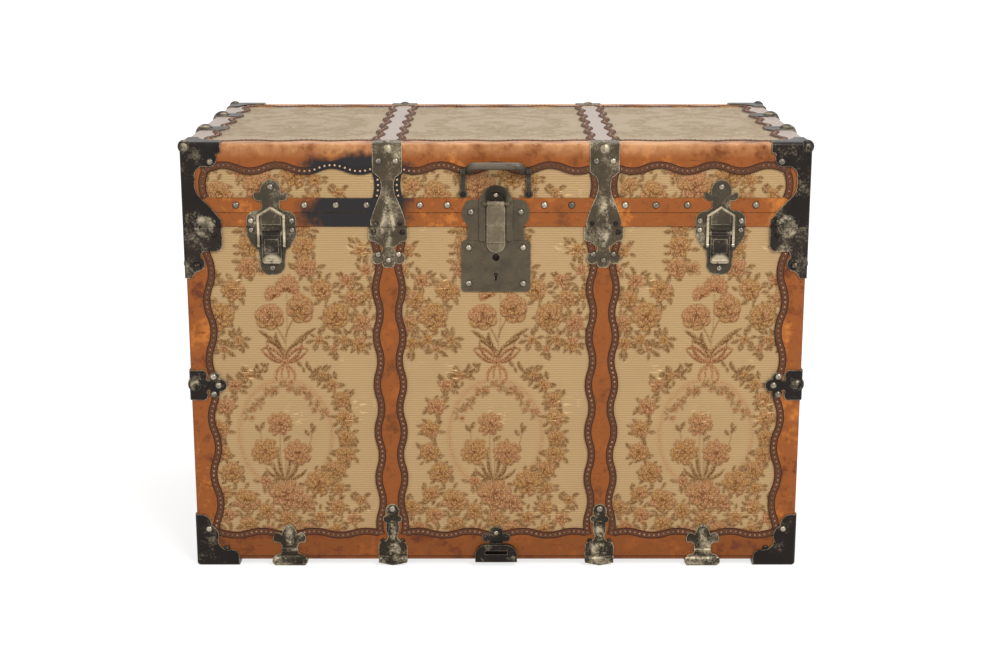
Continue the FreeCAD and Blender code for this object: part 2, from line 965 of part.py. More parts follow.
def under_steps(width):
    """The outline of the part of a clamp that turns under the trunk."""
    return both_halves(changed(sized(clamp_sole_shares, width, clamp_under), lambda p: (p[0], metal - p[1])))


def foot_clamp(s, place, shares, width, height):
    """A clamp that turns under the bottom edge of a wall on a rounded foot, which reaches the floor."""
    steps = moved(both_halves(sized(shares, width, height)), place, ground_v)
    half = width / 2
    middle = ground_v + foot_roll / 2
    bar = rod(s.wall, place - half, place + half, middle, metal + foot_roll_rise - foot_roll / 2, foot_roll)
    foot = outside(bar.common(prism(s.wall, steps, -foot_roll, foot_roll)))
    under = prism(s.sole, moved(under_steps(width), place, 0), leather, leather + plate)
    return joined([prism(s.wall, steps, skin, metal), foot, under])


def strap_foot_clamp(s, place):
    """A clamp at the foot of a strap, with a dome in its plate and a swelling in its neck."""
    shell = foot_clamp(s, place, strap_foot_shares, strap_foot_width, strap_foot_height)
    boss = dome(s.wall, place, ground_v + foot_dome_above, metal, foot_dome, foot_dome_rise)
    ends = [(ground_v + strap_foot_height * share, tip_width, tip_rise) for share in neck_shares]
    ends[1] = (ends[1][0], neck_width, neck_rise)
    return joined([shell, boss, taper(s, place, ends[::-1])])


def fleur_clamp(s, place):
    """A clamp in the shape of a lily, with a raised petal and a collar."""
    shell = foot_clamp(s, place, fleur_shares, fleur_width, fleur_height)
    ends = [(ground_v + fleur_height * share, tip_width, tip_rise) for share in petal_shares]
    ends[1] = (ends[1][0], petal_width, petal_rise)
    up = ground_v + fleur_height * collar_share
    collar = roll(s, place, up, collar_width, collar_thickness, collar_rise)
    return joined([shell, taper(s, place, ends[::-1]), collar])


def edge_clamps():
    """Small clamps over the roof's end edges, at thirds of the depth."""
    wall_steps = moved(
        both_halves(sized(edge_clamp_shares, edge_clamp_width, edge_clamp_height)), 0, lid_height + plate
    )
    roof_half = sized(clamp_sole_shares, edge_clamp_width, edge_clamp_height)
    roof_steps = moved(both_halves(roof_half), 0, -metal)
    place = trunk_depth * edge_clamp_share / 2
    level = parting_z + lid_height + plate
    pieces = []
    for s, sign in ((left, -1), (right, 1)):
        for y in (-place, place):
            shell = bent_clamp(s, y, wall_steps, s.roof, roof_steps, skin)
            outer = Vector(sign * (trunk_width / 2 + plate), sign * y, level)
            pieces.append(joined([shell, knob(outer, X * -sign - Z, clamp_knob, clamp_knob_rise)]))
    return pieces


def strap_loop():
    """The loop at the bottom of the front: a strap goes in at the slot of its bulge and out underneath."""
    low = base_v - plate
    wall_steps = moved(both_halves(sized(loop_shares, loop_width, loop_height)), 0, low)
    shell = bent_clamp(front, 0, wall_steps, front.sole, under_steps(loop_width), leather)
    bulge_steps = moved(both_halves(sized(loop_bulge_shares, loop_width, loop_height)), 0, low)
    face = metal + loop_hollow + loop_wall
    bulge = prism(front.wall, bulge_steps, metal, face)
    half = loop_slot_width / 2
    slot_low = base_v + loop_slot_above
    slot_top = slot_low + loop_slot_height
    slot = prism(front.wall, rectangle(-half, half, slot_low, slot_top), metal, face + overrun)
    below = low - overrun
    hollow = prism(front.wall, rectangle(-half, half, below, slot_top), metal, metal + loop_hollow)
    return joined([shell, bulge]).cut([slot, hollow])


# Lock
def keyhole(low, high):
    eye = disc(front.wall, 0, -key_drop, key_round, low, high)
    half = key_slot_width / 2
    slot = prism(front.wall, rectangle(-half, half, -key_drop - key_slot_length, -key_drop), low, high)
    return eye.fuse(slot)


def lock_pieces():
    face = cloth + lock_thickness
    plate_steps = rounded(lock_width / 2, -lock_drop - lock_height, -lock_drop, lock_corner)
    lock_plate = prism(front.wall, plate_steps, cloth, face)
    half = staple_slot_width / 2
    middle = staple_slot_height / 2
    slot_steps = rectangle(-half, half, -staple_drop - middle, -staple_drop + middle)
    slot = prism(front.wall, slot_steps, -overrun, face + overrun)
    button = disc(front.wall, 0, -button_drop, button_hole, -overrun, face + overrun)
    lock_plate = lock_plate.cut([slot, button, keyhole(-overrun, face + overrun)])
    back_face = cloth - case_depth
    hollow = mortise(-case_wall, back_face + case_wall, cloth + overrun)
    case = mortise(0, back_face, cloth).cut(hollow)
    post = disc(front.wall, 0, -key_drop, key_post, back_face + case_wall, face)
    bolt_start = -case_width / 2 + case_wall + bolt_gap
    bolt_low = back_face + 2 * case_wall + bolt_gap
    bolt_high = bolt_low + bolt_thickness
    half_bolt = bolt_height / 2
    bolt = prism(
        front.wall,
        rectangle(bolt_start, bolt_start + bolt_length, -staple_drop - half_bolt, -staple_drop + half_bolt),
        bolt_low,
        bolt_high,
    )
    guide_end = bolt_start + bolt_length - bolt_throw
    guide_half = half_bolt + bolt_gap + case_wall
    guide = prism(
        front.wall,
        rectangle(
            -case_width / 2 + case_wall, guide_end, -staple_drop - guide_half, -staple_drop + guide_half
        ),
        back_face + case_wall,
        bolt_high,
    )
    run = half_bolt + bolt_gap
    channel = prism(
        front.wall,
        rectangle(-case_width / 2 + case_wall, guide_end + overrun, -staple_drop - run, -staple_drop + run),
        bolt_low - bolt_gap,
        bolt_high + overrun,
    )
    return {
        "lock_plate": lock_plate,
        "lock_case": joined([case, post, guide.cut(channel)]),
        "lock_bolt": bolt,
    }


# Hasp
def hasp_pieces():
    half_hood = hood_width / 2
    plate_half = sized(hasp_plate_shares, hasp_plate_width, hasp_plate_top)
    bend = half_hood * math.sqrt(0.5)
    arch = [(half_hood, hood_centre), ((bend, hood_centre + bend), (0, hood_centre + half_hood))]
    base = prism(front.wall, both_halves(plate_half + arch), skin, metal)
    inner = half_hood - hood_rim
    inner_bend = inner * math.sqrt(0.5)
    outer_steps = both_halves([(half_hood, -hasp_plate_hang)] + arch)
    inner_arch = [(inner, hood_centre), ((inner_bend, hood_centre + inner_bend), (0, hood_centre + inner))]
    inner_steps = both_halves([(inner, -hasp_plate_hang - overrun)] + inner_arch)
    rise = metal + hood_rise
    hood = prism(front.wall, outer_steps, metal, rise).cut(prism(front.wall, inner_steps, metal, rise))
    pin_out = metal + hasp_stand + hasp_barrel / 2
    lug_start = hasp_width / 2 + side_gap
    lug_end = lug_start + lug_thickness
    lugs = [
        rod(front.wall, start, start + lug_thickness, hasp_pivot, pin_out, hasp_barrel)
        for start in (-lug_end, lug_start)
    ]
    hole = rod(front.wall, -lug_end - overrun, lug_end + overrun, hasp_pivot, pin_out, hasp_pin)
    carrier = joined([base, hood] + lugs).cut(hole)
    pin = rod(front.wall, -lug_end, lug_end, hasp_pivot, pin_out, hasp_pin)
    half = hasp_width / 2
    bow = half * math.sqrt(0.5)
    crown = hasp_pivot + hasp_barrel / 2 - half
    flat_half = [(half, -hasp_hang), (half, crown), ((bow, crown + bow), (0, crown + half))]
    low = pin_out - hasp_thickness / 2
    face = prism(front.wall, both_halves(flat_half), low, low + hasp_thickness)
    barrel = rod(
        front.wall, -hasp_barrel_length / 2, hasp_barrel_length / 2, hasp_pivot, pin_out, hasp_barrel
    )
    tongue_low = cloth + lock_thickness + side_gap
    end = -tongue_drop + half
    tongue_steps = both_halves(
        [(0, -tongue_drop), ((bow, end - bow), (half, end)), (half, -hasp_plate_hang - side_gap)]
    )
    tongue = prism(front.wall, tongue_steps, tongue_low, tongue_low + tongue_thickness)
    step_steps = rectangle(-half, half, -hasp_hang, -hasp_plate_hang - side_gap)
    step = prism(front.wall, step_steps, tongue_low, low + hasp_thickness)
    bolt_low = cloth - case_depth + 2 * case_wall + bolt_gap
    window_low, window_high = bolt_low - bolt_gap, bolt_low + bolt_thickness + bolt_gap
    tall = staple_height / 2
    wide = staple_width / 2
    staple = prism(
        front.wall,
        rectangle(-wide, wide, -staple_drop - tall, -staple_drop + tall),
        window_low - staple_wall / 2,
        tongue_low,
    )
    opening = staple_window / 2
    window = prism(
        front.wall,
        rectangle(-wide - overrun, wide + overrun, -staple_drop - opening, -staple_drop + opening),
        window_low,
        window_high,
    )
    bore = rod(front.wall, -lug_end, lug_end, hasp_pivot, pin_out, hasp_pin + 2 * pin_clearance)
    hasp = joined([face, barrel, step, tongue, staple]).cut([window, bore])
    return {"hasp_plate": carrier, "hasp_pin": pin, "hasp": hasp}


# Draw latches
latch_axis_out = cloth + plate + barrel_lift + latch_barrel / 2


def latch_base(place):
    steps = moved(both_halves(sized(latch_base_shares, latch_width, latch_base_height)), place, -rim)
    base = prism(front.wall, steps, cloth, cloth + plate)
    start = lever_width / 2 + running_gap
    up = -lever_pivot_drop
    half = latch_lug_width / 2
    pieces = [base]
    for near_edge in (place - start - latch_lug, place + start):
        far_edge = near_edge + latch_lug
        wall = rectangle(near_edge, far_edge, up - half, up + half)
        pieces.append(prism(front.wall, wall, cloth, latch_axis_out))
        pieces.append(rod(front.wall, near_edge, far_edge, up, latch_axis_out, latch_lug_width))
    end = start + latch_lug + overrun
    return joined(pieces).cut(rod(front.wall, place - end, place + end, up, latch_axis_out, latch_pin))


def latch_pin_of(place):
    end = lever_width / 2 + running_gap + latch_lug
    return rod(front.wall, place - end, place + end, -lever_pivot_drop, latch_axis_out, latch_pin)


def latch_lever(place):
    half = lever_width / 2
    up = -lever_pivot_drop
    low = latch_axis_out - lever_thickness / 2
    high = low + lever_thickness
    blade = prism(
        front.wall, moved(both_halves(sized(lever_shares, lever_width, lever_length)), place, up), low, high
    )
    panel_steps = moved(both_halves(sized(lever_panel_shares, lever_width, lever_length)), place, up)
    panel = prism(front.wall, panel_steps, high, high + lever_panel_rise)
    barrel = rod(front.wall, place - half, place + half, up, latch_axis_out, latch_barrel)
    lip_half = half * lever_lip_share
    lip_up = up - lever_length + lever_lip
    lip = rod(front.wall, place - lip_half, place + lip_half, lip_up, high, lever_lip)
    reach = bail_width / 2
    trunnions = rod(
        front.wall, place - reach, place + reach, -bail_pivot_drop, latch_axis_out, bail_trunnion
    )
    bore = rod(
        front.wall, place - reach, place + reach, up, latch_axis_out, latch_pin + 2 * pin_clearance
    )
    return joined([blade, panel, barrel, lip, trunnions]).cut(bore)


def bail_inside():
    """The right half of the bail's inner outline, from its pivots to its point."""
    half = bail_width / 2 - bail_arm
    return [(half, -bail_pivot_drop), (half, bail_shoulder - bail_arm / 2), (0, bail_apex - bail_arm)]


def latch_bail(place):
    half = bail_width / 2
    outer = [(half, -bail_pivot_drop), (half, bail_shoulder), (0, bail_apex)]
    low = latch_axis_out - bail_thickness / 2
    inner_half = bail_inside()[0][0]
    solids = []
    for sign in (1, -1):
        arm_steps = changed(outer + bail_inside()[::-1], lambda p: (place + sign * p[0], p[1]))
        solids.append(prism(front.wall, arm_steps, low, low + bail_thickness))
        start = place + min(sign * half, sign * inner_half)
        solids.append(
            rod(front.wall, start, start + bail_arm, -bail_pivot_drop, latch_axis_out, bail_eye)
        )
    bore = rod(
        front.wall,
        place - half - overrun,
        place + half + overrun,
        -bail_pivot_drop,
        latch_axis_out,
        bail_trunnion + 2 * pin_clearance,
    )
    return joined(solids).cut(bore)


def latch_keeper(place):
    """The lid's half of a latch: a fleur-de-lis plate with the catch that the bail drops over."""
    steps = moved(both_halves(sized(keeper_shares, latch_width, keeper_height)), place, rim)
    base = prism(front.wall, steps, skin, metal)
    half = catch_width / 2
    (inner, _), (_, shoulder), (_, apex) = bail_inside()
    slope = (apex - shoulder) / inner
    gap = side_gap * math.hypot(1, slope)
    edge = apex - slope * half - gap
    catch = both_halves([(half, catch_foot), (half, edge), (0, apex - gap)])
    return joined([base, prism(front.wall, moved(catch, place, 0), metal, metal + catch_rise)])


# Stop hinges
def hinge_leaves(place):
    """A hinge's lid leaf, with the stop that holds the open lid, its body leaf and its pin."""
    half = hinge_width / 2
    middle = hinge_middle / 2
    outer = middle + running_gap
    lid_leaf = rounded(half, hinge_neck, hinge_leaf_height, hinge_neck)
    neck = rectangle(-middle, middle, 0, 2 * hinge_neck)
    stop = placed(
        axes(Vector(0, 0, hinge_out), X, Y, Z),
        Part.makeBox(
            hinge_middle,
            hinge_stop_thickness,
            hinge_stop_reach,
            Vector(-middle, -hinge_stop_thickness / 2, 0),
        ),
    )
    stop.rotate(Vector(0, 0, hinge_out), X, -hinge_stop_angle)
    lid_solids = [
        prism(back.wall, moved(lid_leaf, place, 0), skin, skin + hinge_plate),
        prism(back.wall, moved(neck, place, 0), skin + side_gap, skin + hinge_plate),
        rod(back.wall, place - middle, place + middle, 0, hinge_out, hinge_knuckle),
    ]
    stop.translate(X * place)
    lid_solids.append(placed(back.wall, stop))
    body_leaf = rounded(half, -hinge_leaf_height, -hinge_neck, hinge_neck)
    body_solids = [prism(back.wall, moved(body_leaf, place, 0), cloth, cloth + hinge_plate)]
    for start, end in ((-half, -outer), (outer, half)):
        joggle = rectangle(place + start, place + end, -2 * hinge_neck, -rim)
        body_solids.append(prism(back.wall, joggle, cloth, skin + hinge_plate))
        body_solids.append(rod(back.wall, place + start, place + end, 0, hinge_out, hinge_knuckle))
    bore = rod(back.wall, place - half - overrun, place + half + overrun, 0, hinge_out, hinge_pin)
    slack = rod(
        back.wall, place - half, place + half, 0, hinge_out, hinge_pin + 2 * pin_clearance
    )
    pin = rod(back.wall, place - half, place + half, 0, hinge_out, hinge_pin)
    return joined(lid_solids).cut(slack), joined(body_solids).cut(bore), pin


# Front handle
handle_out = skin + handle_stand + handle_eye / 2
handle_post_foot = valance_top + post_foot / 2 + side_gap


def handle_post(place):
    """A post on the lid's front, riveted at its foot, with an eye at its top."""
    half = handle_post_width / 2
    foot = disc(front.wall, place, handle_post_foot, post_foot, cloth, skin + plate)
    bar = prism(
        front.wall,
        rectangle(place - half, place + half, handle_post_foot, handle_pivot + handle_eye / 2),
        skin,
        skin + handle_stand,
    )
    neck_half = handle_eye / 2
    neck = prism(
        front.wall,
        rectangle(place - half, place + half, handle_pivot - neck_half, handle_pivot + neck_half),
        skin,
        handle_out,
    )
    eye = rod(front.wall, place - half, place + half, handle_pivot, handle_out, handle_eye)
    bore = rod(
        front.wall,
        place - half - overrun,
        place + half + overrun,
        handle_pivot,
        handle_out,
        handle_trunnion + 2 * pin_clearance,
    )
    return joined([foot, bar, neck, eye]).cut(bore)


def front_handle():
    """A bowed grip between the posts, swept along two bends, on a trunnion at each end."""
    tilt = FreeCAD.Rotation(X, math.degrees(math.atan2(handle_forward, handle_rise)))
    axis = axes(Vector(0, handle_pivot, handle_out), X, Y, Z)
    bow = FreeCAD.Placement(Vector(0, 0, 0), tilt)
    end = handle_post_place - handle_post_width / 2 - side_gap
    start = end - handle_grip / 2
    rise = math.hypot(handle_rise, handle_forward)
    bend = handle_corner * (1 - math.sqrt(0.5))
    points = [
        Vector(-start, 0, 0),
        Vector(-start, rise - handle_corner, 0),
        Vector(-start + bend, rise - bend, 0),
        Vector(-start + handle_corner, rise, 0),
        Vector(start - handle_corner, rise, 0),
        Vector(start - bend, rise - bend, 0),
        Vector(start, rise - handle_corner, 0),
        Vector(start, 0, 0),
    ]
    path = Part.Wire(
        [
            Part.LineSegment(points[0], points[1]).toShape(),
            Part.Arc(points[1], points[2], points[3]).toShape(),
            Part.LineSegment(points[3], points[4]).toShape(),
            Part.Arc(points[4], points[5], points[6]).toShape(),
            Part.LineSegment(points[6], points[7]).toShape(),
        ]
    )
    section = Part.Wire(Part.makeCircle(handle_grip / 2, points[0], Y))
    grip = placed(bow, path.makePipeShell([section], True, False))
    reach = handle_post_place + handle_post_width / 2
    solids = [grip]
    for begin, stop in ((-reach, -start), (start, reach)):
        solids.append(Part.makeCylinder(handle_trunnion / 2, stop - begin, Vector(begin, 0, 0), X))
    for middle in (-start, start):
        solids.append(Part.makeSphere(handle_grip / 2, Vector(middle, 0, 0)))
    return placed(front.wall, placed(axis, joined(solids)))


# End handles
def end_handle(s):
    """A leather strap bowed out from the wall, flat at both ends where the caps hold it."""
    half = end_handle_span / 2
    flat = half - end_handle_tail
    rise = cloth + end_handle_stand
    outer_rise = rise + end_handle_thickness
    outer = cloth + end_handle_thickness
    steps = [
        (-half, cloth),
        (-flat, cloth),
        ((0, rise), (flat, cloth)),
        (half, cloth),
        (half, outer),
        (flat, outer),
        ((0, outer_rise), (-flat, outer)),
        (-half, outer),
    ]
    profile = Part.Face(wire(steps)).extrude(Z * end_handle_width)
    profile.translate(Z * (-end_handle_width / 2))
    turn = axes(Vector(0, -end_handle_drop, 0), X, Z, Y * -1)
    return placed(s.wall, placed(turn, profile))


def handle_caps(s):
    """The stamped caps that hold a handle's ends: a flanged channel over the strap."""
    half = end_handle_span / 2
    caps = []
    for sign in (-1, 1):
        span = (end_handle_tail + end_cap_wall) / 2
        middle = sign * (half + end_cap_wall - span)
        steps = moved(
            rectangle(-span, span, -end_cap_width / 2, end_cap_width / 2), middle, -end_handle_drop
        )
        top = cloth + end_handle_thickness + end_cap_wall
        cap = prism(s.wall, steps, cloth, top)
        inside = end_handle_width / 2
        end = sign * (half - end_handle_tail - overrun)
        tip = sign * half
        slot = rectangle(min(end, tip), max(end, tip), -inside - end_handle_drop, inside - end_handle_drop)
        caps.append(cap.cut(prism(s.wall, slot, cloth - overrun, cloth + end_handle_thickness)))
    return caps


def build():
    nodes = {}
    for group in (body_boards(), lid_boards(), linings(), dust_lip(), tapestries(), leather_pieces()):
        nodes.update(group)
    nodes["lid_corner_caps"] = lid_corner_caps()
    nodes["knee_brackets"] = knee_brackets()
    nodes["corner_clamps"] = corner_clamps()
    nodes["foot_caps"] = foot_caps()
    nodes["strap_dowels"] = strap_dowels(front) + strap_dowels(back)
    nodes["strap_sockets"] = strap_sockets(front) + strap_sockets(back)
    nodes["strap_foot_clamps"] = [
        strap_foot_clamp(s, x) for s in (front, back) for x in (-strap_place, strap_place)
    ]
    nodes["fleur_clamps"] = [
        fleur_clamp(s, x) for s in (front, back) for x in (-fleur_place, fleur_place)
    ]
    nodes["lid_edge_clamps"] = edge_clamps()
    nodes["strap_loop"] = strap_loop()
    nodes.update(lock_pieces())
    nodes.update(hasp_pieces())
    sides = {"left": -latch_place, "right": latch_place}
    nodes["latch_bases"] = [latch_base(x) for x in sides.values()]
    nodes["latch_pins"] = [latch_pin_of(x) for x in sides.values()]
    nodes["latch_keepers"] = [latch_keeper(x) for x in sides.values()]
    for name, x in sides.items():
        nodes["latch_lever_" + name] = latch_lever(x)
        nodes["latch_bail_" + name] = latch_bail(x)
    hinges = [hinge_leaves(x) for x in (-hinge_place, 0, hinge_place)]
    for name, leaves in zip(["hinge_lid_leaves", "hinge_body_leaves", "hinge_pins"], zip(*hinges)):
        nodes[name] = list(leaves)
    nodes["handle_posts"] = [handle_post(x) for x in (-handle_post_place, handle_post_place)]
    nodes["front_handle"] = front_handle()
    nodes["left_end_handle"] = end_handle(left)
    nodes["right_end_handle"] = end_handle(right)
    nodes["end_handle_caps"] = handle_caps(left) + handle_caps(right)
    return nodes


def main():
    os.makedirs("parts", exist_ok=True)
    for name, shape in build().items():
        if isinstance(shape, list):
            shape = Part.makeCompound(shape)
        shape.exportStep("parts/" + name + ".step")


main()
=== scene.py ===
"""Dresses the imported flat-top steamer trunk: woven covers, leather, studs, rivets, steel and a stage."""
import math
from collections import namedtuple
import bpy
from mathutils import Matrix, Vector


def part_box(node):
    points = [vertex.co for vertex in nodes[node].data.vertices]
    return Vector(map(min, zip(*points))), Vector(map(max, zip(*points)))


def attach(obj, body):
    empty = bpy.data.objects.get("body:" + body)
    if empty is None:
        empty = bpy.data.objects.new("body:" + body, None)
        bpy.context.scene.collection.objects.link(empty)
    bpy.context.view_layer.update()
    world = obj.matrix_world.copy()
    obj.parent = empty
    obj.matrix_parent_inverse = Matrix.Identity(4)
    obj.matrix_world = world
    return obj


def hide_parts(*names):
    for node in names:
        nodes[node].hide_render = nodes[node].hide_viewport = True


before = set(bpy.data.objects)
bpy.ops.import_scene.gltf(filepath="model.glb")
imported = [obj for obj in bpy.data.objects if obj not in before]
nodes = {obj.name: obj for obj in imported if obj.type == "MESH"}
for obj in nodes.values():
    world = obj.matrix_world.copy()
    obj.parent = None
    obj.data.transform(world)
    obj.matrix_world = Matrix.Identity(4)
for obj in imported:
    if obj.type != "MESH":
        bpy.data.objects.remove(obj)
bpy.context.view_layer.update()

from types import SimpleNamespace

import bmesh
import bpy
import numpy as np
from mathutils import Matrix, Vector
from mathutils.bvhtree import BVHTree

bl_info = {
    "name": "Flat-top steamer trunk",
    "version": (1, 0, 0),
    "blender": (4, 5, 0),
    "location": "View3D > Sidebar > Trunk",
    "description": "Covers, leather, studs, rivets and finishes for the trunk's frame",
    "category": "Object",
}

MM = 0.001

# Faces of the box: u runs across, v up (or inwards on the lid's top), w out of the boards, in millimetres
Face = namedtuple("Face", "origin across up out")
X, Y, Z = Vector((1, 0, 0)), Vector((0, 1, 0)), Vector((0, 0, 1))
parting_gap = 0.6
half_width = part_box("front_board")[1].x / MM
half_depth = -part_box("front_board")[0].y / MM
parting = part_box("front_board")[1].z / MM + parting_gap / 2
lid_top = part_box("lid_top_board")[1].z / MM


def wall(across, out, reach):
    """One wall of the trunk, with its origin on the parting line."""
    return Face((out * reach + Z * parting) * MM, across, Z, out)


front = wall(X, -Y, half_depth)
right = wall(Y, X, half_width)
back = wall(-X, Y, half_depth)
left = wall(-Y, -X, half_width)
walls = [front, right, back, left]
roofs = [Face(s.origin + Z * (lid_top - parting) * MM, s.across, -s.out, Z) for s in walls]

# Layers and bands of the frame that the pieces here follow, heights from the parting line
cloth = 1.0
skin = 3.0
leather_half_width = half_width + skin
leather_half_depth = half_depth + skin
lid_wall_edge = 81.0
lid_roof_edge = 37.0
lid_board_top = 119.0
valance_top = 42.1
corner_band = 38.5
base_edge = -471.0
base_start = -495.0
base_line = 15.0
band_wave = 4.4
base_wave = 3.2
band_period = 78.0
strap_places = (-158.12, 158.12)
strap_half = 22.0
strap_wave = 3.0
strap_start = -517.0

# Scorched places of the lid's front, in millimetres: centre, then half the width, depth and height
burns = [
    ((-206, -256, parting + 24), (76, 20, 44)),
    ((-206, -256, parting + 84), (80, 20, 26)),
    ((-160, -256, parting + 56), (36, 20, 46)),
]


def linear(code):
    """A colour written as sRGB hex, as linear values with full opacity."""
    parts = [int(code[i:i + 2], 16) / 255 for i in (1, 3, 5)]
    return tuple(c / 12.92 if c <= 0.04045 else ((c + 0.055) / 1.055) ** 2.4 for c in parts) + (1.0,)


def size(name, about, default):
    """A length in millimetres that a user may change."""
    return bpy.props.FloatProperty(name=name, description=about, default=default, min=0.01)


def tint(name, about, code):
    """A colour that a user may change."""
    return bpy.props.FloatVectorProperty(
        name=name, description=about, size=4, subtype="COLOR", min=0, max=1, default=linear(code)
    )


class TrunkSizes(bpy.types.PropertyGroup):
    """Sizes of what is laid on the frame, in millimetres."""

    cloth_cell: size("Cloth cell", "Width of one cell of the woven covers", 2.3)
    fine_cell: size("Fine cell", "Width of one cell of the front covers", 1.5)
    repeat: size("Repeat", "Width of one medallion of the weave", 317.0)
    gimp_width: size("Gimp width", "Width of the studded gimp along the leather's edges", 10.8)
    gimp_inset: size("Gimp inset", "From the leather's edge to the middle of the gimp", 5.4)
    stud: size("Stud", "Diameter of a gimp stud", 3.7)
    stud_spacing: size("Stud spacing", "From one gimp stud to the next", 7.3)
    rivet: size("Rivet", "Diameter of a dome rivet's head", 10.5)


class TrunkColours(bpy.types.PropertyGroup):
    """Colours of the trunk's finishes."""

    ground: tint("Ground", "Ground threads of the woven cover", "#B6966A")
    ochre: tint("Ochre", "Ochre threads", "#A1661F")
    rose: tint("Rose", "Faded red threads", "#A8633A")
    leaf: tint("Leaf", "Brown threads of the leaves", "#8A6330")
    shade: tint("Shade", "Dark threads that draw the outlines", "#5C3515")
    sun_ground: tint("Sunned ground", "Ground threads of the lid's top", "#AA9980")
    sun_thread: tint("Sunned threads", "Pattern threads of the lid's top", "#8D7454")
    tan: tint("Tan", "Tanned leather", "#96521F")
    tan_light: tint("Light tan", "Rubbed leather", "#BE7230")
    # painted highlight on the lid's leather along its top edge
    tan_highlight: tint("Pale tan", "Leather worn along the lid's top edge", "#C79465")
    tan_dark: tint("Dark tan", "Handled leather", "#5E2A10")
    burn: tint("Burn", "Scorched leather", "#1D1A1B")
    sun_leather: tint("Sunned leather", "Leather on the lid's top", "#A99B91")
    gimp: tint("Gimp", "Woven gimp under the studs", "#603820")
    stud: tint("Stud", "Tarnished studs of the gimp", "#A0836C")
    black_steel: tint("Black steel", "Lacquer on the stamped steel", "#241E1A")
    bare_steel: tint("Bare steel", "Steel where the lacquer is rubbed off", "#A79A80")
    nickel: tint("Nickel", "Plated rivet heads", "#AC9F8C")
    bronze_steel: tint("Browned steel", "Browned steel of the strap clamps", "#4E4435")
    lock_steel: tint("Lock steel", "Dull steel of the lock and latches", "#554C3D")
    iron: tint("Iron", "Forged iron of the handle", "#4E463C")
    paper: tint("Paper", "Lining paper", "#D8CBB0")
    wood: tint("Wood", "Boards", "#A98258")


def palette():
    """The colours as they are set, as plain values."""
    group = bpy.context.scene.trunk_colours
    return SimpleNamespace(**{key: tuple(getattr(group, key)) for key in group.__annotations__})


def fill(tree, sockets, values):
    """Gives each of some sockets its value, or its link from a socket or from a node's first open output."""
    for socket, value in zip(sockets, values):
        if isinstance(value, bpy.types.Node):
            value = next(output for output in value.outputs if output.enabled)
        if isinstance(value, bpy.types.NodeSocket):
            tree.links.new(value, socket)
        else:
            socket.default_value = value


def add(tree, kind, *values, stops=(), **named):
    """Adds one shader node.

    Values fill its open sockets in turn, capitalised names fill the sockets of that name, other names are
    settings, and a colour ramp has stops.
    """
    made = tree.nodes.new("ShaderNode" + kind)
    for key in filter(str.islower, named):
        setattr(made, key, named[key])
    fill(tree, [socket for socket in made.inputs if socket.enabled], values)
    by_name = [key for key in named if not key.islower()]
    fill(tree, [made.inputs[key] for key in by_name], [named[key] for key in by_name])
    for i, (place, colour) in enumerate(stops):
        ramp = made.color_ramp.elements
        stop = ramp[i] if i < 2 else ramp.new(place)
        stop.position, stop.color = place, colour
    return made


# A wave texture of scale 1 repeats at this length, in metres
WAVE_REPEAT = math.pi / 10


def shaded(colour, share):
    """The same colour with its light scaled."""
    return tuple(min(1.0, c * share) for c in colour[:3]) + (1.0,)


def finish(name):
    """A new material: its tree and its surface shader."""
    material = bpy.data.materials.new(name)
    material.use_nodes = True
    shader = material.node_tree.nodes["Principled BSDF"]
    return material, material.node_tree, shader


def coat(material, shader, values):
    """Fills the named sockets of a material's surface shader."""
    fill(material.node_tree, [shader.inputs[key] for key in values], values.values())
    return material


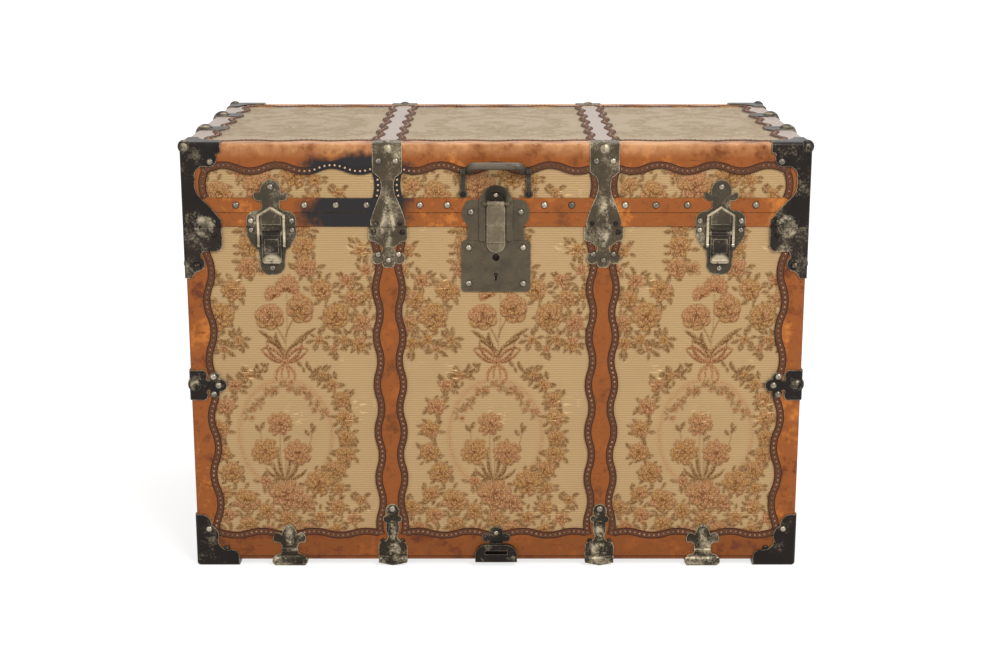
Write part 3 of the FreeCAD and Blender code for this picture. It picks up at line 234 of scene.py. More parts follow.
def tapestry_cloth(name, ground, threads, shade, strength):
    """Jacquard tapestry: corded ground ribs, motifs in broken upright strokes, pale snagged threads."""
    material, tree, shader = finish(name)
    rib = 0.0034
    uv = add(tree, "UVMap", uv_map="weave")
    drawn = add(tree, "Attribute", attribute_name="motif").outputs
    parts = add(tree, "SeparateColor", drawn["Color"]).outputs
    ribs = add(tree, "TexWave", uv, WAVE_REPEAT / rib, 1.2, 1.0, 0.2, bands_direction="Y").outputs["Fac"]
    # upright strokes of the pattern threads, about 2 by 6 mm
    strokes = add(tree, "TexNoise", add(tree, "Mapping", uv, Scale=(480, 170, 1)), 1.0, 2.0)
    # stains and sun over a hand's breadth
    stains = add(tree, "TexNoise", uv, 9.0, 4.0, 0.6)
    stained = add(tree, "MapRange", stains, 0.35, 0.75, 0, 0.4)
    # the ground's ribs, painted lighter on their crests and darker between them, as painted light and shade
    laid = add(tree, "Mix", ribs, shaded(ground, 0.82), shaded(ground, 1.12), data_type="RGBA")
    laid = add(tree, "Mix", stained, laid, shaded(ground, 0.78), data_type="RGBA")
    broken = add(tree, "MapRange", strokes, 0.34, 0.56, 0.5 * strength, strength)
    for channel, colour in zip(("Red", "Green", "Blue"), threads):
        woven = add(tree, "Math", parts[channel], broken, operation="MULTIPLY")
        laid = add(tree, "Mix", woven, laid, colour, data_type="RGBA")
    dashes = add(tree, "MapRange", strokes, 0.62, 0.44, 0.6 * strength, strength)
    lines = add(tree, "Math", drawn["Alpha"], dashes, operation="MULTIPLY", use_clamp=True)
    laid = add(tree, "Mix", lines, laid, shade, data_type="RGBA")
    # single stitches inside the motifs, about 2 by 3 mm, dark or pale
    stitches = add(tree, "TexNoise", add(tree, "Mapping", uv, Scale=(520, 300, 1)), 1.0, 1.0)
    motif = add(tree, "Math", parts["Red"], parts["Green"], operation="ADD")
    motif = add(tree, "Math", motif, parts["Blue"], operation="ADD", use_clamp=True)
    for low, high, thread, share in ((0.53, 0.6, shade, 0.7), (0.44, 0.36, shaded(ground, 1.25), 0.6)):
        chosen = add(tree, "MapRange", stitches, low, high, 0, share * strength)
        chosen = add(tree, "Math", motif, chosen, operation="MULTIPLY")
        laid = add(tree, "Mix", chosen, laid, thread, data_type="RGBA")
    # snagged threads, about 17 by 2 mm, only here and there
    snag = add(tree, "TexNoise", add(tree, "Mapping", uv, Scale=(60, 480, 1)), 1.0)
    snag = add(tree, "MapRange", snag, 0.6, 0.66)
    patch = add(tree, "MapRange", add(tree, "TexNoise", uv, 14.0, 1.0), 0.62, 0.68)
    snags = add(tree, "Math", snag, patch, operation="MULTIPLY")
    laid = add(tree, "Mix", snags, laid, shaded(ground, 1.7), data_type="RGBA")
    height = add(tree, "Math", ribs, strokes, operation="ADD")
    bump = add(tree, "Bump", Height=height, Strength=0.5, Distance=0.0005)
    return coat(material, shader, {
        "Base Color": laid, "Normal": bump, "Roughness": 0.9, "Specular IOR Level": 0.25,
        "Sheen Weight": 0.05,
    })


def scorched(tree, place, ragged, colour, burn):
    """The colour with the scorched places of the lid burnt into it, ragged at their edges."""
    for centre, half in burns:
        about = add(tree, "Mapping", place, Vector(centre) * -MM)
        about = add(tree, "VectorMath", about, [1 / (h * MM) for h in half], operation="MULTIPLY")
        reach = add(tree, "VectorMath", about, operation="LENGTH")
        uneven = add(tree, "MapRange", ragged, 0.3, 0.7, -0.2, 0.2)
        uneven = add(tree, "Math", reach, uneven, operation="ADD")
        scorch = add(tree, "MapRange", uneven, 0.7, 1.2, 1, 0)
        colour = add(tree, "Mix", scorch, colour, burn, data_type="RGBA")
    return colour


def tanned_leather(name, light, middle, dark, gloss, sunned=None, pale=None, burn=None, pressed=None):
    """Vegetable-tanned cowhide: orange where rubbed, red brown where handled, cracked, with a wax gloss."""
    material, tree, shader = finish(name)
    place = add(tree, "TexCoord").outputs["Object"]
    # handling over 80 mm, mottling over 15 mm
    handled = add(tree, "TexNoise", place, 12.0, 5.0, 0.6)
    mottle = add(tree, "TexNoise", place, 65.0, 6.0, 0.65)
    mottled = add(tree, "MapRange", mottle, 0.3, 0.7, -0.14, 0.14)
    tone = add(tree, "Math", handled, mottled, operation="ADD")
    colour = add(tree, "ValToRGB", tone, stops=[
        (0.30, dark), (0.70, light), (0.45, middle), (0.56, middle),
    ])
    # scuffs, a few millimetres long
    scuff = add(tree, "TexNoise", place, 150.0, 8.0, 0.75)
    marks = add(tree, "MapRange", scuff, 0.57, 0.7, 0, 0.8)
    # level cracks, about 25 by 4 mm, where the hide dried out
    cracks = add(tree, "TexNoise", add(tree, "Mapping", place, Scale=(40, 40, 260)), 1.0, 4.0, 0.7)
    dried = add(tree, "MapRange", cracks, 0.62, 0.72, 0, 0.75)
    worn = add(tree, "Math", marks, dried, operation="MAXIMUM")
    colour = add(tree, "Mix", worn, colour, shaded(dark, 0.5), data_type="RGBA")
    if sunned:
        up = add(tree, "SeparateXYZ", place).outputs
        # the edge under the roof is painted paler, as a painted highlight along the lid's top edge
        level, highlight_band, tan_band = lid_top + skin, 22.0, 34.0
        rise = add(tree, "MapRange", up["Z"], (level - highlight_band) * MM, (level - 1) * MM, 0, 0.9)
        edge = add(tree, "Math", rise, add(tree, "MapRange", tone, 0.3, 0.6), operation="MULTIPLY")
        colour = add(tree, "Mix", edge, colour, pale, data_type="RGBA")
        # the roof has bleached to a pinkish grey
        bleached = add(tree, "Mix", mottle, shaded(sunned, 0.6), shaded(sunned, 1.2), data_type="RGBA")
        roof = add(tree, "MapRange", up["Z"], (lid_top + 0.2) * MM, (lid_top + 0.8) * MM, 0, 0.95)
        # its front and back edges stay tan, where hands and the wall keep the sun off
        depth = add(tree, "Math", up["Y"], operation="ABSOLUTE")
        start = half_depth - tan_band
        inner = add(tree, "MapRange", depth, start * MM, (start - 6) * MM)
        roof = add(tree, "Math", roof, inner, operation="MULTIPLY")
        colour = add(tree, "Mix", roof, colour, bleached, data_type="RGBA")
    if pressed:
        # a dark line painted along the foot of the leather: the pressed line's own darker leather, with the
        # painted shade of its groove
        half_line = 0.0011
        level = add(tree, "SeparateXYZ", place).outputs["Z"]
        line = add(tree, "Math", level, pressed * MM, half_line, operation="COMPARE")
        line = add(tree, "Math", line, 0.7, operation="MULTIPLY")
        colour = add(tree, "Mix", line, colour, shaded(dark, 0.4), data_type="RGBA")
    if burn:
        colour = scorched(tree, place, tone, colour, burn)
    # the grain is 1 mm or less, and is drawn at 3 mm so that it shows
    grain = add(tree, "TexVoronoi", place, 330.0)
    height = add(tree, "Math", grain, scuff, operation="SUBTRACT")
    bump = add(tree, "Bump", Height=height, Strength=0.3, Distance=0.0004)
    rough = add(tree, "MapRange", mottle, 0.3, 0.7, gloss - 0.08, gloss + 0.14)
    return coat(material, shader, {
        "Base Color": colour, "Roughness": rough, "Normal": bump, "Specular IOR Level": 0.25,
    })


def gimp_braid(name, colour, burn):
    """Narrow woven gimp: red brown, black along both edges, partly dark edge threads and partly painted
    shadow at its sides, with cross ribs, scorched on the lid.
    """
    material, tree, shader = finish(name)
    thread = 0.0025
    uv = add(tree, "UVMap", uv_map="weave")
    place = add(tree, "TexCoord").outputs["Object"]
    # the black along both edges is partly the gimp's dark edge threads and partly painted shadow where it
    # stands off the leather
    black = shaded(colour, 0.12)
    dyed = add(tree, "ValToRGB", add(tree, "SeparateXYZ", uv).outputs["Y"], stops=[
        (0.0, black), (1.0, black), (0.07, black), (0.17, colour), (0.83, colour), (0.93, black),
    ])
    worn = add(tree, "TexNoise", place, 90.0, 4.0)
    rubbed = add(tree, "MapRange", worn, 0.4, 0.7, 0, 0.5)
    dyed = add(tree, "Mix", rubbed, dyed, shaded(colour, 0.45), data_type="RGBA")
    dyed = scorched(tree, place, worn, dyed, burn)
    ribs = add(tree, "TexWave", uv, WAVE_REPEAT / thread, 0.5, bands_direction="X").outputs["Fac"]
    bump = add(tree, "Bump", Height=ribs, Strength=0.5, Distance=0.0004)
    return coat(material, shader, {
        "Base Color": dyed, "Normal": bump, "Roughness": 0.7, "Specular IOR Level": 0.25,
    })


def worn_steel(
    name, lacquer, bare, wear, rough, rubbed=0.0, spot=None, swell_highlight_from=None, flank_shaded=False, bright=None
):
    """Stamped steel under old lacquer: dark in the hollows, rubbed to dull metal in patches, worn bare and
    painted bright on edges, with other painted light and shade where asked.
    """
    material, tree, shader = finish(name)
    place = add(tree, "TexCoord").outputs["Object"]
    # rubbed patches over 25 mm, pitting over 3 mm
    patches = add(tree, "TexNoise", place, 38.0, 5.0, 0.62)
    pits = add(tree, "TexNoise", place, 330.0, 4.0, 0.6)
    tone = add(tree, "Math", patches, add(tree, "MapRange", pits, 0.3, 0.7, -0.1, 0.1), operation="ADD")
    middle = tuple((a * 0.7 + b * 0.3) for a, b in zip(lacquer, bare))
    colour = add(tree, "ValToRGB", tone, stops=[
        (wear - 0.22, shaded(lacquer, 0.75)), (wear + 0.2, bare), (wear - 0.05, lacquer),
        (wear + 0.06, middle),
    ])
    if rubbed:
        # the lacquer is gone from a band along the edges, painted brighter than bare steel as a painted
        # highlight, but not where lid and body meet
        band, meeting_band = 0.002, 0.0025
        round_edge = add(tree, "Bevel", band, samples=6)
        square = add(tree, "NewGeometry").outputs["True Normal"]
        turned = add(tree, "VectorMath", round_edge, square, operation="DOT_PRODUCT")
        edge = add(tree, "MapRange", turned, 0.97, 0.85, 0, rubbed)
        patchy = add(tree, "Math", edge, add(tree, "MapRange", tone, 0.3, 0.5), operation="MULTIPLY")
        level = add(tree, "SeparateXYZ", place).outputs["Z"]
        meeting = add(tree, "Math", level, parting * MM, meeting_band, operation="COMPARE")
        patchy = add(tree, "Math", patchy, meeting, operation="SUBTRACT", use_clamp=True)
        colour = add(tree, "Mix", patchy, colour, shaded(bare, 1.5), data_type="RGBA")
    if swell_highlight_from:
        # painted highlights on the pressed swells, measured outwards from the boards
        swell = 4.0
        folded = add(tree, "VectorMath", place, operation="ABSOLUTE")
        boards = Vector((half_width, half_depth, lid_top)) * MM
        out = add(tree, "VectorMath", folded, boards, operation="SUBTRACT")
        out = add(tree, "SeparateXYZ", out).outputs
        far = add(tree, "Math", out["X"], out["Y"], operation="MAXIMUM")
        far = add(tree, "Math", far, out["Z"], operation="MAXIMUM")
        rise = add(tree, "MapRange", far, swell_highlight_from * MM, (swell_highlight_from + swell) * MM)
        # painted most on their flanks and less on top, where the painted reflection is darker
        flank_highlight = add(tree, "ValToRGB", rise, stops=[
            (0.1, (0, 0, 0, 1)), (0.95, (0.25, 0.25, 0.25, 1)), (0.4, (1, 1, 1, 1)), (0.6, (1, 1, 1, 1)),
        ])
        patchy = add(tree, "Math", flank_highlight, add(tree, "MapRange", tone, 0.42, 0.62), operation="MULTIPLY")
        colour = add(tree, "Mix", patchy, colour, bare, data_type="RGBA")
    if flank_shaded:
        # painted shade in a ring round the foot of each head, where its flanks turn away from the light
        dome = add(tree, "Attribute", attribute_name="dome").outputs["Fac"]
        foot_shade = add(tree, "MapRange", dome, 0.9, 0.6, 0, 0.85)
        colour = add(tree, "Mix", foot_shade, colour, shaded(lacquer, 0.3), data_type="RGBA")
    if spot:
        # a colour painted round one place and at its twin on the other side: painted light where it is
        # lighter, painted shade where it is darker
        centre, reach, there = spot
        folded = add(tree, "VectorMath", place, operation="ABSOLUTE")
        away = add(tree, "VectorMath", folded, Vector(centre) * MM, operation="DISTANCE")
        painted_mask = add(tree, "MapRange", away, reach * MM, 0.7 * reach * MM, 0, 0.85)
        painted_mask = add(tree, "Math", painted_mask, add(tree, "MapRange", tone, 0.3, 0.42), operation="MULTIPLY")
        colour = add(tree, "Mix", painted_mask, colour, there, data_type="RGBA")
    if bright:
        # the scorch has burnt the tarnish off
        colour = scorched(tree, place, tone, colour, bright)
    return coat(material, shader, {
        "Base Color": colour,
        "Roughness": add(tree, "MapRange", tone, 0.3, 0.7, rough - 0.06, rough + 0.12),
        "Normal": add(tree, "Bump", Height=pits, Strength=0.25, Distance=0.0004),
        "Metallic": add(tree, "MapRange", tone, wear - 0.1, wear + 0.15, 0.25, 0.8),
        "Specular IOR Level": 0.15,
    })


def planed_wood(name, colour):
    """Planed softwood boards: straight grain lines 4 mm apart, dulled by age."""
    material, tree, shader = finish(name)
    place = add(tree, "TexCoord").outputs["Object"]
    grain = add(
        tree, "TexNoise", add(tree, "Mapping", place, Scale=(6, 60, 250)), 1.0, 6.0, Distortion=0.4
    )
    ramp = add(tree, "ValToRGB", grain, stops=[
        (0.3, shaded(colour, 0.6)), (0.7, shaded(colour, 1.15)), (0.5, colour),
    ])
    bump = add(tree, "Bump", Height=grain, Strength=0.2, Distance=0.0005)
    return coat(material, shader, {"Base Color": ramp, "Normal": bump, "Roughness": 0.7})


def lining_paper(name, colour):
    """Aged lining paper: cream, foxed in spots, with a faint bump."""
    material, tree, shader = finish(name)
    place = add(tree, "TexCoord").outputs["Object"]
    age = add(tree, "TexNoise", place, 7.0, 5.0)
    spots = add(tree, "TexNoise", place, 70.0, 3.0)
    aged = add(tree, "ValToRGB", age, stops=[(0.3, shaded(colour, 0.72)), (0.65, colour)])
    foxing = add(tree, "MapRange", spots, 0.62, 0.72, 0, 0.5)
    foxed = add(tree, "Mix", foxing, aged, linear("#9A7444"), data_type="RGBA")
    bump = add(tree, "Bump", Height=spots, Strength=0.15, Distance=0.0006)
    return coat(material, shader, {"Base Color": foxed, "Normal": bump, "Roughness": 0.85})


def at(face, u, v, w):
    """A point of a face, from millimetres across, up and out."""
    return face.origin + (face.across * u + face.up * v + face.out * w) * MM


def axes(face, u, v, w):
    """The placement of a piece on a face, with its own z out of the face."""
    turn = Matrix((face.across, face.up, face.out)).transposed().to_4x4()
    return Matrix.Translation(at(face, u, v, w)) @ turn


def only(kind, geometry):
    """The elements of one kind among those that a bmesh operator gives back."""
    return [element for element in geometry if isinstance(element, kind)]


def meshed(name, bm):
    """A finished bmesh as a mesh."""
    mesh = bpy.data.meshes.new(name)
    bm.to_mesh(mesh)
    bm.free()
    return mesh


def piece(name, bm, material, body, sharp=math.radians(50)):
    """Turns a finished mesh into an object that rides on a body and takes the given finish."""
    bmesh.ops.recalc_face_normals(bm, faces=bm.faces)
    mesh = meshed(name, bm)
    mesh.shade_smooth()
    mesh.set_sharp_from_angle(angle=sharp)
    mesh.materials.append(material)
    made = bpy.data.objects.new(name, mesh)
    bpy.context.scene.collection.objects.link(made)
    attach(made, body)
    return made


def stamp(target, pattern, place):
    """Adds a copy of a small shape to a mesh, at a placement."""
    copy = pattern.copy()
    copy.transform(place)
    target.from_mesh(copy)
    bpy.data.meshes.remove(copy)


def fixed_surface(names):
    """A search tree over some nodes, for finding what lies under a point."""
    points, triangles = [], []
    for name in names:
        mesh, start = nodes[name].data, len(points)
        points += [v.co.copy() for v in mesh.vertices]
        triangles += [[start + i for i in p.vertices] for p in mesh.polygons]
    return BVHTree.FromPolygons(points, triangles)


def height_over(tree, face, u, v):
    """How far out of a face the surface lies at a point, in millimetres, or None."""
    far = 80.0
    hit = tree.ray_cast(at(face, u, v, far), -face.out, far * MM)
    return None if hit[3] is None else far - hit[3] / MM


def refinish(finishes):
    """Gives the frame's nodes the finishes made for their slots."""
    for node in nodes.values():
        slot = node.data.materials[0].name
        if slot in finishes:
            node.data.materials[0] = finishes[slot]


body_metal = [
    "knee_brackets", "corner_clamps", "foot_caps", "strap_sockets", "strap_foot_clamps", "fleur_clamps",
    "strap_loop", "latch_bases", "lock_plate", "end_handle_caps", "hinge_body_leaves",
]
lid_metal = [
    "lid_corner_caps", "strap_dowels", "lid_edge_clamps", "latch_keepers", "hasp_plate", "handle_posts",
    "hinge_lid_leaves",
]
body_leather = ["body_corner_bindings", "base_bindings", "body_straps"]
lid_leather = [
    "lid_edge_bindings", "lid_corner_bindings", "lid_straps", "valance_lower_strips", "valance_upper_strips",
]


# Woven covers
OCHRE, ROSE, LEAF, SHADE = range(4)
# lowest and highest row of the drawing, in millimetres from the middle of a bouquet
art_low, art_high = -270, 370


def patch_of(art, place, reach):
    """The part of the weave round a place, wrapped across the repeat, and distances from the place in it."""
    half = art.shape[2] / 2
    bottom = max(0, int(place[1] - art_low - reach))
    rows = np.arange(bottom, min(art.shape[1], int(place[1] - art_low + reach) + 1))
    columns = np.arange(int(place[0] + half - reach), int(place[0] + half + reach) + 1)
    across, up = np.meshgrid(columns + 0.5 - half - place[0], rows + 0.5 + art_low - place[1])
    return np.ix_(range(4), rows, columns % art.shape[2]), across, up


def lay(art, patch, inside, tone, body, lines):
    """Weaves one tone over what is there, with darker lines in it."""
    laid = art[patch] * (1 - inside)
    laid[tone] += inside * body
    laid[SHADE] += inside * np.clip(lines, 0, 1)
    art[patch] = laid


def petal(art, place, length, width, angle, tone, depth=1.0):
    """One rounded petal from its root, paler to its rim, with a dark root, rim and veins."""
    patch, across, up = patch_of(art, place, length + width)
    along = (across * math.cos(angle) + up * math.sin(angle)) / length
    beside = (up * math.cos(angle) - across * math.sin(angle)) * 2 / width
    far = np.hypot(2 * along - 1, beside)
    inside = np.clip((1 - far) * width / 2.4 + 0.5, 0, 1) * depth
    low = 0.6 + 0.4 * np.clip(-up / length - beside * math.cos(angle), -1, 1)
    rim = np.clip((far - 0.62) / 0.22, 0, 1) * low
    root = np.exp(-(np.clip(along, 0, 2) / 0.3) ** 2)
    veins = np.clip(np.cos(8 * beside), 0, 1) ** 4 * np.clip(0.8 - along, 0, 1) * 0.5
    body = 0.35 + 0.65 * np.clip(1.15 - along, 0, 1)
    lay(art, patch, inside, tone, body, 0.95 * rim + 0.9 * root + veins)


def bloom(art, place, reach, tone, rng, depth=1.0, frill=1.0):
    """One rose from the front: rings of overlapping petals round a dark heart, narrower when frilled."""
    large, small = ((9, 0.34, 0.70), (7, 0.16, 0.62), (5, 0.0, 0.46)), ((6, 0.12, 0.9), (4, 0.0, 0.5))
    for count, root, length in large if reach > 12 else small:
        start, count = rng.uniform(0, 6.3), round(count * frill)
        for i in rng.permutation(count):
            angle = start + 2 * math.pi * i / count + rng.uniform(-0.2, 0.2)
            spot = (place[0] + root * reach * math.cos(angle), place[1] + root * reach * math.sin(angle))
            mixed = tone if rng.rand() < 0.8 else OCHRE + ROSE - tone
            stretch = length * reach * rng.uniform(0.8, 1.15)
            petal(art, spot, stretch, 0.66 * reach / frill, angle, mixed, depth)
    patch, across, up = patch_of(art, place, reach)
    heart = 0.8 * depth * np.exp(-(np.hypot(across, up) / (0.16 * reach)) ** 2)
    lay(art, patch, heart, tone, 0.6, 0.9)


def fan(art, place, reach, tone, facing, rng, depth=1.0):
    """One frilled flower seen from the side, its petals spread like a fan."""
    for turn in rng.permutation(np.linspace(-1.5, 1.5, 9)):
        petal(art, place, reach * (1.15 - 0.2 * abs(turn)), 0.42 * reach, facing + turn, tone, depth)
    for turn in np.linspace(-0.7, 0.7, 5):
        petal(art, place, 0.6 * reach, 0.3 * reach, facing + turn, tone, depth)


def leaf(art, place, length, angle, depth=0.9):
    """One toothed, pointed leaf, darker on one side of its rib."""
    patch, across, up = patch_of(art, place, length + 2)
    along = (across * math.cos(angle) + up * math.sin(angle)) / length
    beside = (up * math.cos(angle) - across * math.sin(angle)) / length
    half = 0.24 * np.sin(np.pi * np.clip(along, 0, 1)) * (1 + 0.18 * np.sin(42 * along))
    inside = np.clip((half - np.abs(beside)) * length / 1.2 + 0.4, 0, 1) * (along > 0) * (along < 1) * depth
    rib = np.exp(-(beside * length / 0.9) ** 2)
    rim = np.clip(1 - (half - np.abs(beside)) * length / 1.5, 0, 1)
    lay(art, patch, inside, LEAF, 0.7, np.where(beside > 0, 0.55, 0.1) + 0.6 * rib + 0.6 * rim)


def stroke(art, start, end, bend, tone=LEAF, wide=1.5, swell=0.0, depth=0.85):
    """One curved stroke: a stalk, the loop of a ribbon, or a blade that swells in its middle."""
    for share in np.linspace(0, 1, 28):
        rise = 4 * share * (1 - share)
        x, z = ((a + (b - a) * share + c * rise) for a, b, c in zip(start, end, bend))
        half = wide + swell * rise
        patch, across, up = patch_of(art, (x, z), half + 6)
        inside = depth * np.clip(half + 0.5 - np.hypot(across, up), 0, 1)
        lay(art, patch, inside, tone, 0.75, np.where(up < -0.2 * half, 0.9, 0.15) if swell else 0.6)


def spray(art, place, reach, count, length, rng, depth=0.9):
    """Leaves that lie all round a flower, pointing outwards or along its rim."""
    for angle in rng.uniform(0, 2 * math.pi) + np.linspace(0, 2 * math.pi, count, endpoint=False):
        turn = angle + rng.choice((-1, 1)) * rng.uniform(0.1, 1.1)
        out = reach * rng.uniform(0.5, 1.05)
        spot = (place[0] + out * math.cos(angle), place[1] + out * math.sin(angle))
        leaf(art, spot, length * rng.uniform(0.7, 1.15), turn, depth * rng.uniform(0.75, 1))


def cluster(art, flowers, count, length, rng, depth=1.0):
    """Roses of one group, given as (x, z, reach, tone), with leaves behind them all."""
    for x, z, reach, _ in flowers:
        spray(art, (x, z), reach, count, length, rng, 0.95 * depth)
    for x, z, reach, tone in flowers:
        bloom(art, (x, z), reach, tone, rng, depth)


def garland_art(repeat):
    """One repeat of the weave: a ribboned rose wreath round a bouquet, a spray above, garlands beside."""
    rng = np.random.RandomState(11)
    art = np.zeros((4, art_high - art_low, int(repeat)))
    # faint oval band inside the wreath
    across, up = np.meshgrid(np.arange(int(repeat)) - repeat / 2 + 0.5, np.arange(art_low, art_high) + 0.5)
    art[ROSE] += 0.32 * np.exp(-((np.hypot((across - 6) / 70, (up - 16) / 86) - 1) / 0.05) ** 2)
    # faint inner swags
    for side in (-1, 1):
        for share in np.linspace(0, 1, 11):
            x, z = 8 + side * (4 + 54 * share), 92 - 40 * share + 5 * math.sin(5 * share)
            leaf(art, (x, z), 12, rng.uniform(0, 6.3), 0.5)
            leaf(art, (x, z), 10, rng.uniform(0, 6.3), 0.5)
            bloom(art, (x + rng.uniform(-6, 6), z + rng.uniform(-6, 6)), 5.5, ROSE, rng, 0.55)
    # wreath: leafy ends at the bow, then roses that grow larger downwards
    for side in (-1, 1):
        for share in np.linspace(0, 1, 8):
            x, z = 8 + side * (26 + 46 * share), 122 - 28 * share ** 1.5
            leaf(art, (x, z), rng.uniform(10, 14), math.pi / 2 + rng.uniform(-1.4, 1.4), 0.9)
            leaf(art, (x, z), rng.uniform(9, 13), -math.pi / 2 + rng.uniform(-1.4, 1.4), 0.9)
    wreath = [
        (63, 110, 7), (79, 94, 10), (93, 72, 13), (96, 42, 14), (98, 12, 13), (95, -16, 15), (80, -40, 15),
        (-46, 108, 8), (-68, 93, 11), (-84, 60, 14), (-93, 24, 14), (-94, -12, 16), (-77, -44, 17),
    ]
    wreath = [(x, z, reach, OCHRE if rng.rand() < 0.75 else ROSE) for x, z, reach in wreath]
    cluster(art, wreath, 9, 14, rng)
    # roses at the foot of the wreath, and the tops of the next row
    cluster(art, [
        (-26, -58, 10, ROSE), (84, -70, 11, OCHRE), (-92, -78, 13, OCHRE), (32, -92, 15, ROSE),
        (82, -100, 13, OCHRE), (-26, -106, 14, OCHRE), (-88, -112, 13, ROSE), (56, -116, 12, OCHRE),
        (106, -118, 12, ROSE), (6, -118, 14, OCHRE), (-56, -126, 13, OCHRE), (-122, -100, 13, OCHRE),
        (118, -88, 9, OCHRE), (-112, -132, 12, ROSE), (30, -134, 13, ROSE), (80, -136, 12, OCHRE),
        (-20, -140, 12, ROSE), (-57, -88, 19, OCHRE), (55, -60, 20, OCHRE), (5, -78, 25, ROSE),
    ], 8, 14, rng)
    # ribbon bow
    for side in (-1, 1):
        for x, z, bend_x, bend_z in ((34, 150, 0, 9), (34, 148, 0, -6), (26, 162, -5, 5), (26, 160, 6, -4)):
            stroke(art, (8, 130), (8 + side * x, z), (side * bend_x, bend_z), ROSE, 1.2, 1.2, 0.85)
        stroke(art, (8, 128), (8 + side * 13, 102), (side * 6, 0), ROSE, 1.2, 1.0, 0.8)
        stroke(art, (8, 128), (8 + side * 5, 106), (side * 2, 0), ROSE, 1.0, 0.6, 0.8)
    bloom(art, (8, 130), 6, ROSE, rng)
    # spray over the bow
    for end, bend in (
        ((-30, 178), (-4, 6)), ((-18, 164), (-4, 5)), ((56, 182), (4, 6)), ((42, 168), (5, 5)),
        ((-4, 176), (-5, 0)),
    ):
        stroke(art, (9, 146), end, bend, LEAF, 0.6, 2.6)
    stroke(art, (8, 140), (12, 248), (3, 0), wide=1.0)
    stroke(art, (9, 160), (-12, 196), (2, 0), wide=1.0)
    stroke(art, (10, 168), (28, 204), (-2, 0), wide=1.0)
    bloom(art, (-13, 200), 21, ROSE, rng, 0.9, 0.75)
    bloom(art, (33, 212), 22, ROSE, rng, 1.0, 0.75)
    fan(art, (-5, 230), 16, ROSE, 2.0, rng)
    fan(art, (14, 240), 22, ROSE, 1.4, rng)
    bloom(art, (-20, 272), 12, ROSE, rng, 0.7)
    bloom(art, (34, 276), 12, OCHRE, rng, 0.7)
    # bouquet inside the wreath: stalks, blades, leaves and three flowers
    for end, bend in (
        ((-2, 26), -3), ((-26, -10), -6), ((24, -10), 4), ((-32, 26), -9), ((46, 22), 9), ((2, 20), 2),
    ):
        stroke(art, (3, -58), end, (bend, 0), wide=0.9)
    for end, bend in (
        ((-26, -36), -3), ((36, -38), 4), ((-14, -26), -4), ((22, -24), 5), ((-6, -6), -3), ((12, 0), 3),
    ):
        stroke(art, (3, -56), end, (bend, -3), LEAF, 0.5, 2.2)
    for x, z, length, angle in (
        (-31, 20, 15, 2.2), (-31, 24, 14, 1.2), (44, 18, 15, 1.0), (42, 14, 13, 2.2), (46, 24, 12, 1.6),
        (2, 6, 15, 0.6),
    ):
        leaf(art, (x, z), length, angle)
    bloom(art, (-2, 33), 19, ROSE, rng, 1.0, 1.5)
    bloom(art, (-26, -10), 21, OCHRE, rng, 1.0, 1.5)
    bloom(art, (24, -13), 21, ROSE, rng, 1.0, 1.5)
    # garlands down both sides, above the wreath
    hanging = [
        (38, 336, 14, OCHRE), (40, 306, 16, OCHRE), (43, 274, 16, ROSE), (104, 254, 12, ROSE),
        (112, 226, 14, OCHRE), (124, 190, 14, ROSE), (60, 164, 8, OCHRE), (96, 164, 9, OCHRE),
        (82, 150, 7, ROSE), (120, 158, 12, OCHRE), (66, 240, 17, OCHRE), (86, 200, 22, OCHRE),
        (136, 232, 10, OCHRE), (132, 270, 10, ROSE), (124, 300, 11, OCHRE),
    ]
    for side in (-1, 1):
        cluster(art, [(side * x, z, reach, tone) for x, z, reach, tone in hanging], 9, 15, rng)
    return np.clip(art, 0, 1)


def drawn_at(art, across, up):
    """The four tones of the weave at some places, mixed from the cells round each."""
    column, row = np.floor(across).astype(int) % art.shape[2], np.floor(up).astype(int)
    right_part, upper_part = across - np.floor(across), up - row
    beside = (column + 1) % art.shape[2]
    lower = art[:, row, column] * (1 - right_part) + art[:, row, beside] * right_part
    upper = art[:, row + 1, column] * (1 - right_part) + art[:, row + 1, beside] * right_part
    return lower * (1 - upper_part) + upper * upper_part


